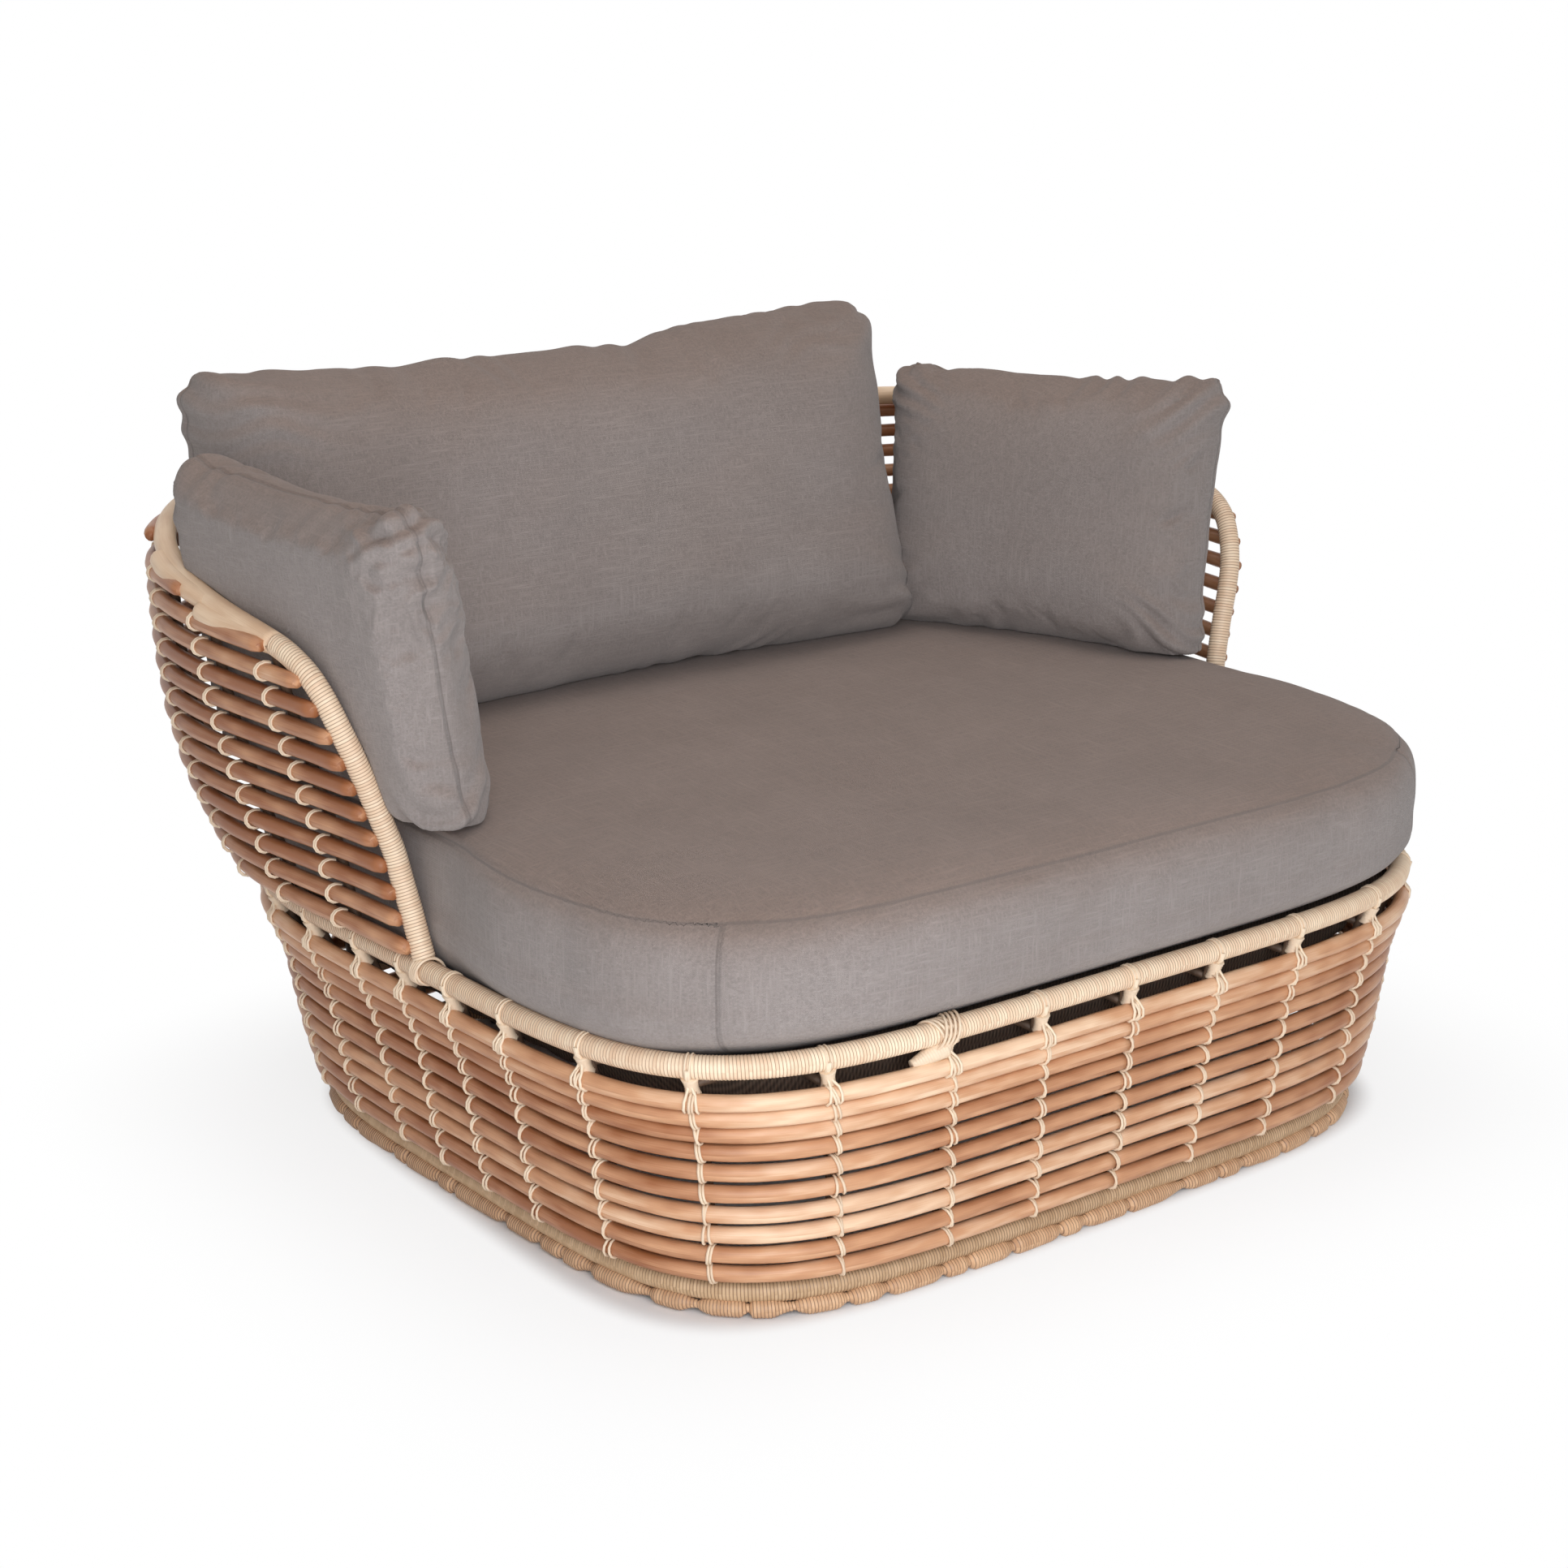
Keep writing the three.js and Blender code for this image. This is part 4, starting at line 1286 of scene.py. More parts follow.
@dataclass
class BackFrame(WallWork):
    """The wound arm and back rail, and the ribs that carry it."""

    rail: RailLine
    rail_radius: float = 0.012
    rib_radius: float = 0.0055
    first_rib: float = 0.05
    pitch: float = 0.0034
    groove: float = 0.0006
    sides: int = 14
    wound_length: float = 0.37
    skin_step: float = 0.008
    rib_steps: int = 23
    rib_sides: int = 10
    splice_radius: float = 0.0118
    splice_rings: int = 40
    splice_places: tuple[tuple[float, float, float, float], ...] = (
        (0.365, 0.505, 0.009, 0.009),
        (0.485, 0.625, 0.010, 0.003),
    )

    def stretch(self, start: float, end: float) -> Run:
        """The part of the rail between two lengths."""
        run = self.rail.run()
        length = np.linspace(start, end, max(12, round(abs(end - start) / 0.004)))
        points, facings = run.at(length)
        return Run(points, facings)

    def wound_bend(self, name: str, start: float, end: float) -> Object:
        """One lower bend of the rail, closely wound."""
        run = self.stretch(start, end)
        table = wound_tube(run, self.rail_radius, self.pitch, self.groove, self.sides)
        made = skinned(name, table[None], (run.whole(), TURN * self.rail_radius))
        return dressed(made, self.wardrobe.wound, Slot.WRAP, Body.FRAME, "back_frame")

    def smooth_rail(self) -> Object:
        """The upper stretch of the rail, covered with cane skin."""
        whole = self.rail.run().whole()
        run = self.stretch(self.wound_length, whole - self.wound_length)
        table = plain_tube(run, self.rail_radius, self.skin_step, self.sides + 2)
        made = skinned("back_rail", table[None], (run.whole(), TURN * self.rail_radius))
        return dressed(made, self.wardrobe.peel, Slot.WRAP, Body.FRAME, "back_frame")

    def splices(self) -> Object:
        """Short pole ends spliced under the rail on both sides, with rounded tips."""
        whole = self.rail.run().whole()
        tables = []
        for start, end, out, down in self.splice_places:
            for near, far in ((start, end), (whole - start, whole - end)):
                run = self.stretch(near, far)
                away = smoothstep(np.linspace(0, 1, len(run.points)), -0.1, 0.8)[:, None]
                points = run.points + away * (run.facings * out - np.array([0, 0, down]))
                line = Run(points, run.facings)
                length = np.linspace(0, line.whole(), self.splice_rings)
                from_tip = np.minimum(length, line.whole() - length)
                short = 1 - np.minimum(from_tip / self.splice_radius, 1)
                round_tip = np.sqrt(np.clip(1 - short**2, 0.02, 1))[:, None, None]
                centre, _, outward, side = line.frames(length)
                spread = spokes(outward, side, self.sides)
                tables.append(centre[:, None] + self.splice_radius * round_tip * spread)
        made = skinned("rail_splices", np.array(tables), (0.14, TURN * self.splice_radius))
        return dressed(made, self.wardrobe.peel, Slot.WRAP, Body.FRAME)

    def rib_angles(self) -> list[tuple[float, float]]:
        """Angles of the wall ribs and the heights that they reach."""
        found = []
        angles, lengths = self.stations.arcs()
        for angle in self.stations.right():
            place = 2 * float(np.interp(angle, angles, lengths)) / lengths[-1] - 1
            if place > self.first_rib:
                top = self.rail.height_at(place)
                found.append((float(angle), top))
                if angle < math.pi / 2 - 1e-6:
                    found.append((math.pi - float(angle), top))
        return found

    def ribs_piece(self) -> Object:
        """The ribs between the rim and the rail."""
        tables = []
        for angle, top in self.rib_angles():
            heights = np.linspace(self.rail.foot_z, top, self.rib_steps + 1)
            tables.append(self.wall.rib(angle, heights, self.rib_radius, self.rib_sides))
        made = skinned("wall_ribs", np.array(tables), (0.4, TURN * self.rib_radius))
        return dressed(made, self.wardrobe.frame, Slot.FRAME, Body.FRAME, "back_frame")

    def build(self) -> None:
        """Makes the rail and its ribs."""
        whole = self.rail.run().whole()
        self.wound_bend("rail_bend_right", 0, self.wound_length)
        self.wound_bend("rail_bend_left", whole - self.wound_length, whole)
        self.smooth_rail()
        self.splices()
        self.ribs_piece()


@dataclass
class Lashings(WallWork):
    """The cord that ties each rod to each rib."""

    rods: CaneRods
    back: BackFrame
    cord_radius: float = 0.0015
    hook_radius: float = 0.0013
    rings: int = 9
    sides: int = 5
    wrap: float = math.radians(128)
    slant: float = 0.0062
    crossing_share: float = 0.4
    fork_share: float = 0.25
    hook: float = 0.0075
    seed: int = 11

    def crossed(self, count: int, share: np.ndarray, chance: np.random.Generator) -> list[np.ndarray]:
        """Sideways places of two strands that run side by side, cross or fork, by crossing and ring."""
        reach = self.slant * (0.6 + 0.8 * chance.random(count))
        lean = reach * np.where(chance.random(count) < 0.5, -1, 1)
        pattern = chance.random(count)
        kinds = [pattern < self.crossing_share, pattern > 1 - self.fork_share]
        strands = []
        for strand in (-1, 1):
            beside = strand * self.cord_radius * 0.95
            half = strand * reach / 2
            top = np.select(kinds, [half, np.full(count, beside)], beside - lean / 2)
            foot = np.select(kinds, [-half, strand * reach * 0.8], beside + lean / 2)
            strands.append(top[:, None] + (foot - top)[:, None] * share[None])
        return strands

    def hooked(self, angles: np.ndarray, share: np.ndarray, chance: np.random.Generator) -> list[np.ndarray]:
        """Sideways places of two strands that bow together towards the back, by crossing and ring."""
        bow = -np.sign(np.cos(angles)) * self.hook * (0.8 + 0.4 * chance.random(len(angles)))
        bent = bow[:, None] * np.cos(math.pi * (share - 0.5))[None]
        return [strand * self.hook_radius * 0.95 + bent for strand in (-1, 1)]

    def strands(
        self, angles: np.ndarray, heights: np.ndarray, style: Lash, chance: np.random.Generator
    ) -> np.ndarray:
        """Skins of the strands at crossings.

        Args:
            angles: Angle of each crossing.
            heights: Height of each crossing's rod.
            style: How the cord crosses.
            chance: Source of unevenness.

        Returns:
            Tables of positions, two for each crossing.
        """
        out = self.wall.outward(angles, heights)
        up = self.wall.upward(angles, heights)
        along = unit(np.cross(out, up))
        square = np.cross(up, along)
        square = square * np.sign(np.sum(square * out, axis=-1, keepdims=True))
        centre = self.wall.outside(angles, heights, self.rods.standoff)
        share = np.linspace(0, 1, self.rings)
        sweep = self.wrap * (1 - 2 * share)
        if style is Lash.CROSSED:
            shifts, thickness = self.crossed(len(angles), share, chance), self.cord_radius
        else:
            shifts, thickness = self.hooked(angles, share, chance), self.hook_radius
        ring = np.cos(sweep)[None, :, None] * square[:, None] + np.sin(sweep)[None, :, None] * up[:, None]
        tables = []
        for layer, shift in enumerate(shifts):
            radius = self.rods.radius + thickness * (0.7 + 0.5 * layer)
            line = centre[:, None] + radius * ring + shift[..., None] * along[:, None]
            tables.append(cord_skins(line, ring, thickness, self.sides))
        return np.concatenate(tables)

    def piece(
        self, name: str, spots: list[tuple[float, float]], style: Lash, chance: np.random.Generator
    ) -> None:
        """One side's lashings as a piece, from the angles and heights of its crossings."""
        angles, heights = np.array(spots).T
        tables = self.strands(angles, heights, style, chance)
        made = skinned(name, tables, (0.03, TURN * self.cord_radius))
        self.lashed(made, 0.5 + 0.35 * noise_along(mesh_points(made.data), 60.0))

    def build(self) -> None:
        """Makes the lashings of the base and of the wall, a side at a time."""
        chance = np.random.default_rng(self.seed)
        corner = math.radians(45)
        sides = {"front": [], "right": [], "back": [], "left": []}
        for angle in self.stations.every():
            turned = (angle + math.pi / 2 + corner) % TURN
            sides[("front", "right", "back", "left")[int(turned // (math.pi / 2))]].append(float(angle))
        for side, angles in sides.items():
            spots = [(a, z) for a in angles for z in self.rods.base_heights()]
            self.piece(f"base_lashings_{side}", spots, Lash.CROSSED, chance)
        reach = {round(a % TURN, 6): top for a, top in self.back.rib_angles()}
        below_rail = self.back.rail_radius
        for side, angles in sides.items():
            heights = self.rods.wall_heights()
            tops = {angle: reach.get(round(angle % TURN, 6), 0) - below_rail for angle in angles}
            spots = [(angle, z) for angle in angles for z in heights if z < tops[angle]]
            if spots:
                self.piece(f"wall_lashings_{side}", spots, Lash.HOOKED, chance)


@dataclass
class RimTies(WallWork):
    """What ties the rim to the top rod and to the rail: wrapped stumps, forked cords and knots."""

    rods: CaneRods
    rail: RailLine
    rim_radius: float = 0.012
    stump_radius: float = 0.0088
    stump_waist: float = 0.0020
    stump_top: float = 0.2745
    stump_foot: float = 0.2535
    stump_outset: float = 0.0065
    stump_turns: int = 8
    stump_points: int = 8
    stump_groove: float = 0.0004
    stump_sides: int = 10
    cord_radius: float = 0.0015
    fork: float = 0.0065
    fork_outset: float = 0.0125
    sides: int = 6
    knot_share: float = 0.13
    knot_points: int = 25
    front_knot: tuple[float, int, float] = (0.021, 4, 0.0026)
    foot_tie: tuple[float, int, float] = (0.013, 4, 0.0018)
    tail_length: float = 0.036
    tail_radii: tuple[float, float] = (0.0115, 0.0055)
    tail_inset: float = 0.004
    tail_girth: float = 0.05
    tail_pitch: float = 0.0028
    tail_groove: float = 0.0006
    tail_points: int = 16

    def stumps(self) -> Object:
        """A short wrapped stump on each rib between the rim and the top rod."""
        tables = []
        for angle in self.stations.every():
            heights = np.linspace(self.stump_foot, self.stump_top, self.stump_points)
            angles = np.full(self.stump_points, angle)
            points = self.wall.outside(angles, heights, self.stump_outset)
            run = Run(points, self.wall.outward(angles, heights))
            whole = run.whole()

            def waisted(length: np.ndarray, whole: float = whole) -> np.ndarray:
                """Radius at a length, smallest half way."""
                share = np.clip(length / whole, 0, 1)
                return self.stump_radius - self.stump_waist * np.sin(math.pi * share)

            pitch = whole / self.stump_turns
            tables.append(wound_tube(run, waisted, pitch, self.stump_groove, self.stump_sides))
        spans = (self.stump_top - self.stump_foot, TURN * self.stump_radius)
        made = skinned("rim_stumps", np.array(tables), spans)
        return self.lashed(made, 0.55)

    def forks(self) -> Object:
        """Two cords from the rim at each rib, spread over the top rod."""
        angles = self.stations.every()
        top_rod = self.rods.base_heights()[-1]
        out = self.wall.outward(angles, self.wall.rim_z)
        along = np.cross(out, UP)
        rim = self.wall.point(angles, self.wall.rim_z)
        gap = self.wall.outside(angles, (self.stump_top + self.stump_foot) / 2, self.fork_outset)
        rod = self.wall.outside(angles, top_rod, self.rods.standoff)
        rim_reach, rod_reach = self.rim_radius + self.cord_radius, self.rods.radius + self.cord_radius
        route = (
            *((rim, rim_reach, 5, 0.1), (rim, rim_reach, -35, 0.15), (rim, rim_reach, -65, 0.2)),
            *((gap, 0.0, -20, 0.35), (rod, rod_reach, 60, 0.65), (rod, rod_reach, 20, 0.85)),
            *((rod, rod_reach, -25, 0.95), (rod, rod_reach, -75, 1.0), (rod, rod_reach, -120, 1.0)),
        )
        tables = []
        for strand in (-1, 1):
            points, facings = [], []
            for centre, reach, degrees, spread in route:
                facing = math.cos(math.radians(degrees)) * out + math.sin(math.radians(degrees)) * UP
                points.append(centre + reach * facing + strand * self.fork * spread * along)
                facings.append(facing)
            lines, directions = np.stack(points, axis=1), np.stack(facings, axis=1)
            tables.append(cord_skins(lines, directions, self.cord_radius, self.sides))
        made = skinned("rim_forks", np.concatenate(tables), (0.05, TURN * self.cord_radius))
        return self.lashed(made, 0.7)

    def knot(self, name: str, angle: float, half_width: float, strands: int, lift: float) -> Object:
        """Cords wound crosswise over the rim.

        Args:
            name: Name of the piece.
            angle: Where the knot's middle is.
            half_width: Half the knot's length along the rim.
            strands: Cords each way.
            lift: How far the upper layer stands over the lower.

        Returns:
            The knot.
        """
        turn = np.linspace(-math.pi, math.pi, self.knot_points)
        out = self.wall.outward(angle, self.wall.rim_z)
        along = np.cross(out, UP)
        centre = self.wall.point(angle, self.wall.rim_z)
        ring = np.cos(turn)[:, None] * out + np.sin(turn)[:, None] * UP
        lines = []
        for layer, way in enumerate((1, -1)):
            for index in range(strands):
                start = half_width * (2 * (index + 0.5) / strands - 1) * 0.5
                shift = start + way * half_width * 1.5 * turn / TURN
                reach = self.rim_radius + self.cord_radius * 0.8 + lift * layer
                lines.append(centre + reach * ring + shift[:, None] * along)
        facings = np.broadcast_to(ring, (len(lines), *ring.shape))
        tables = cord_skins(np.array(lines), facings, self.cord_radius, self.sides)
        made = skinned(name, tables, (0.08, TURN * self.cord_radius))
        return self.lashed(made, 0.45 + 0.4 * noise_along(mesh_points(made.data), 90.0))

    def tail(self, angle: float) -> Object:
        """The tapered end of the knot's fibres, tucked under the rim."""
        reach = self.tail_length / self.wall.rim_half_width
        angles = np.linspace(angle, angle - reach, self.tail_points)
        ends = (self.stump_top - self.tail_inset, self.stump_foot + self.tail_inset)
        heights = np.linspace(*ends, self.tail_points)
        points = self.wall.outside(angles, heights, self.stump_outset)
        run = Run(points, self.wall.outward(angles, heights))

        def tapered(length: np.ndarray) -> np.ndarray:
            """Radius at a length, from the thick end to the thin one."""
            share = np.clip(length / run.whole(), 0, 1)
            return self.tail_radii[0] + (self.tail_radii[1] - self.tail_radii[0]) * share**1.3

        table = wound_tube(run, tapered, self.tail_pitch, self.tail_groove, self.stump_sides)
        made = skinned("knot_tail", table[None], (run.whole(), self.tail_girth))
        return self.lashed(made, 0.5)

    def build(self) -> None:
        """Makes the stumps, the forks, the front knot and the ties at the rail's feet."""
        self.stumps()
        self.forks()
        knot_angle = math.pi - float(self.stations.at_share(self.knot_share))
        self.knot("front_knot", knot_angle, *self.front_knot)
        self.tail(knot_angle)
        foot = float(self.rail.angle_at(self.rail.shares[0][0]))
        self.knot("foot_tie_right", foot, *self.foot_tie)
        self.knot("foot_tie_left", math.pi - foot, *self.foot_tie)


@dataclass
class DeckAndFeet(WallWork):
    """The seat deck and the feet, which keep their CAD shapes, and the strap under the deck's edge."""

    edging_top: float = 0.2680
    edging_foot: float = 0.2250
    edging_inset: float = 0.030
    edging_thickness: float = 0.0016
    edging_rows: int = 8
    edging_sag: float = 0.0012
    steps: int = 480

    def edging(self) -> Object:
        """A dark woven strap that hangs from the deck's edge all round, a little uneven."""
        angles = self.stations.even_round(self.steps)
        angles = np.concatenate([angles, angles[:1] + TURN])
        heights = np.linspace(self.edging_top, self.edging_foot, self.edging_rows)
        way = np.concatenate([heights, heights[::-1], heights[:1]])
        side = np.concatenate([np.zeros(self.edging_rows), np.ones(self.edging_rows), [0.0]])
        wave = np.sin(60 * angles) * self.edging_sag
        table = np.empty((len(angles), len(way), 3))
        for column, (z, inner) in enumerate(zip(way, side)):
            inset = self.edging_inset + inner * self.edging_thickness
            table[:, column] = self.wall.outside(angles, z, -inset)
            table[:, column, 2] += wave * (self.edging_top - z) / (self.edging_top - self.edging_foot)
        made = skinned("deck_edging", table[None], (3.4, 0.1))
        return dressed(made, self.wardrobe.strap, Slot.STRAP, Body.FRAME)

    def build(self) -> None:
        """Makes the strap and gives the deck and the feet their materials."""
        self.edging()
        for name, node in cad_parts.items():
            if name == "seat_deck":
                node.data.materials.clear()
                node.data.materials.append(self.wardrobe.strap)
            elif name.startswith("glide_"):
                node.data.materials.clear()
                node.data.materials.append(self.wardrobe.glide)


# The cushions


@dataclass
class SoftForm:
    """What every cushion shares: inflation by cloth simulation, wrinkles, seams and finish."""

    wardrobe: Wardrobe
    voxel: float = 0.006
    pressure: float = 4.0
    frames: int = 20
    cap: float = 0.012
    seed: float = 0.0

    def remeshed(self, made: Object) -> None:
        """Rebuilds the piece's mesh in even quads."""
        grid = made.modifiers.new("even", "REMESH")
        grid.mode = "VOXEL"
        grid.voxel_size = self.voxel
        self.settle(made)

    def refined(self, made: Object) -> None:
        """Divides the piece's faces once, smoothly."""
        finer = made.modifiers.new("finer", "SUBSURF")
        finer.levels = 1
        finer.render_levels = 1
        self.settle(made)

    def settle(self, made: Object) -> None:
        """Applies the piece's modifiers."""
        graph = bpy.context.evaluated_depsgraph_get()
        mesh = bpy.data.meshes.new_from_object(made.evaluated_get(graph))
        made.modifiers.clear()
        old = made.data
        made.data = mesh
        bpy.data.meshes.remove(old)

    def inflated(self, made: Object, hold: Callable[[np.ndarray], np.ndarray]) -> None:
        """Swells the piece as stuffed cloth.

        Args:
            made: The piece, as it lies before it is filled.
            hold: Share of its movement that each point makes.
        """
        start = mesh_points(made.data)
        cloth = made.modifiers.new("stuffing", "CLOTH")
        settings = cloth.settings
        settings.quality = 4
        settings.mass = 0.25
        settings.tension_stiffness = 12
        settings.compression_stiffness = 8
        settings.bending_stiffness = 0.6
        settings.use_pressure = True
        settings.uniform_pressure_force = self.pressure
        settings.effector_weights.gravity = 0
        cloth.collision_settings.use_collision = False
        scene = bpy.context.scene
        for step in range(1, self.frames + 1):
            scene.frame_set(step)
        graph = bpy.context.evaluated_depsgraph_get()
        swollen = bpy.data.meshes.new_from_object(made.evaluated_get(graph))
        moved = mesh_points(swollen) - start
        bpy.data.meshes.remove(swollen)
        made.modifiers.clear()
        scene.frame_set(1)
        far = np.linalg.norm(moved, axis=1, keepdims=True)
        held = moved * np.minimum(1, self.cap / np.maximum(far, 1e-9)) * hold(start)[:, None]
        set_points(made.data, start + held)
        most = float(np.linalg.norm(held, axis=1).max())
        log.info("%s swelled by %.1f mm at most", made.name, 1000 * most)

    def field_noise(self, points: np.ndarray, scale: Sequence[float], shift: float) -> np.ndarray:
        """Smooth noise at points, with its own scale along each axis."""
        return noise_along(points * np.array(scale) + self.seed + shift, 1.0)

    def finished(self, made: Object, body: Body, node: str, fill: float) -> Object:
        made.data.shade_smooth()
        dressed(made, self.wardrobe.canvas, Slot.FABRIC, body, node)
        return made


@dataclass
class SeatCushion(SoftForm):
    """The boxed seat cushion: sides drawn in at the foot, a rolled top edge and a low crown."""

    wall: BasketWall = field(default_factory=BasketWall)
    stations: Stations | None = None
    voxel: float = 0.009
    cap: float = 0.008
    foot_z: float = 0.2748
    seam_z: float = 0.4288
    top_z: float = 0.4278
    front_foot: float = 0.050
    side_foot: float = 0.026
    proud: float = 0.020
    rear_inset: float = 0.010
    flare_share: float = 0.5
    ease: tuple[float, float] = (-0.42, -0.06)
    rows: tuple[tuple[float, float], ...] = (
        *((0, -0.25), (0, 0), (0.07, 0.26), (0.14, 0.52), (0.22, 0.76), (0.34, 0.92), (0.58, 1)),
        *((0.76, 0.98), (0.87, 0.9), (0.95, 0.73), (1, 0.36)),
    )
    crown: tuple[tuple[float, float], ...] = (
        *((0.965, 0.3), (0.9, 0.55), (0.75, 0.9)),
        *((0.5, 1.0), (0.2, 1.0)),
    )
    columns: int = 240
    seam_height: float = 0.4215
    seam_depth: float = 0.0012
    seam_width: float = 0.005
    profile_points: int = 46
    upright_seams: tuple[float, float] = (-2.42, -0.72)
    wrinkle: float = 0.0022
    carried: tuple[str, ...] = ("back_cushion", "arm_cushion_left", "arm_cushion_right")
    press_z: float = 0.4345
    press_slope: float = 0.05

    def pressed(self, points: np.ndarray) -> None:
        """Flattens the top under the loose cushions, and less so further from them."""
        for node in self.carried:
            low, high = (np.array(corner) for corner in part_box(node))
            away = np.maximum(low[:2] - points[:, :2], points[:, :2] - high[:2]).max(axis=1)
            most = self.press_z + self.press_slope * np.maximum(away, 0)
            points[:, 2] = np.minimum(points[:, 2], most)

    def outline(self, spread: float, z: float, scale: float = 1.0) -> np.ndarray:
        """One level outline of the cushion."""
        angles = self.stations.even_round(self.columns)
        angles = np.concatenate([angles, angles[:1] + TURN])
        rim = self.wall.point(angles, self.wall.rim_z)
        out = self.wall.outward(angles, self.wall.rim_z)
        depth = (rim[:, 1] - self.wall.shift_y) / self.wall.rim_depth
        flare = self.wall.point(angles, max(z, self.wall.rim_z)) - rim
        rim = rim + flare * (self.flare_share * smoothstep(depth, 0.1, 0.6))[:, None]
        full = self.proud + (-self.rear_inset - self.proud) * smoothstep(depth, *self.ease)
        foot = self.side_foot + (self.front_foot - self.side_foot) * smoothstep(-out[:, 1], 0.4, 0.9)
        offset = -foot + (full + foot) * spread
        points = rim + out * offset[:, None]
        points[:, 1] -= self.wall.shift_y
        points[:, :2] *= scale
        points[:, 1] += self.wall.shift_y
        points[:, 2] = z
        return points

    def form(self) -> Object:
        """The plain form, closed over its crown and its foot."""
        knots = np.array(self.rows)
        fine = np.linspace(0, len(knots) - 1, self.profile_points)
        rises = np.interp(fine, np.arange(len(knots)), knots[:, 0])
        spreads = np.interp(fine, np.arange(len(knots)), knots[:, 1])
        rings = [self.outline(-0.25, self.foot_z, 0.5)]
        for rise, spread in zip(rises, spreads):
            rings.append(self.outline(spread, self.foot_z + (self.seam_z - self.foot_z) * rise))
        for scale, rise in self.crown:
            z = self.seam_z + (self.top_z - self.seam_z) * rise
            rings.append(self.outline(self.rows[-1][1], z, scale))
        return skinned("seat_cushion", np.array(rings)[None], (3.4, 1.0))

    def sculpted(self, made: Object) -> None:
        """Draws in the seams, adds the soft creases beside them, and writes how far the seams are."""
        points, normals = mesh_points(made.data), mesh_normals(made.data)
        side = smoothstep(np.hypot(normals[:, 0], normals[:, 1]), 0.5, 0.8)
        above = points[:, 2] - self.seam_height
        left_seam, right_seam = self.upright_seams
        turn = np.arctan2(points[:, 1] - self.wall.shift_y, points[:, 0])
        inside = np.minimum(turn - left_seam, right_seam - turn)
        beside = inside * np.hypot(points[:, 0], points[:, 1] - self.wall.shift_y)
        line = np.exp(-((above / self.seam_width) ** 2)) * side
        upright = np.exp(-((beside / self.seam_width) ** 2)) * side * (above < 0)
        low = smoothstep(points[:, 2], 0.29, 0.33)
        creases = self.field_noise(points, (26, 26, 9), 3.1) * side * low
        broad = self.field_noise(points, (5, 5, 5), 8.2)
        lift = self.wrinkle * (creases + 2 * broad * low) - self.seam_depth * np.maximum(line, upright)
        points = points + normals * lift[:, None]
        self.pressed(points)
        set_points(made.data, points)
        toned(made, above, "seam")
        toned(made, np.where(above > 0, np.maximum(np.abs(beside), 0.01), beside), "upright_seam")

    def build(self) -> None:
        """Makes the seat cushion."""
        made = self.form()
        self.remeshed(made)
        self.inflated(made, lambda start: smoothstep(start[:, 2], 0.31, 0.36))
        self.refined(made)
        self.sculpted(made)
        self.finished(made, Body.SEAT, "seat_cushion", 0.85)


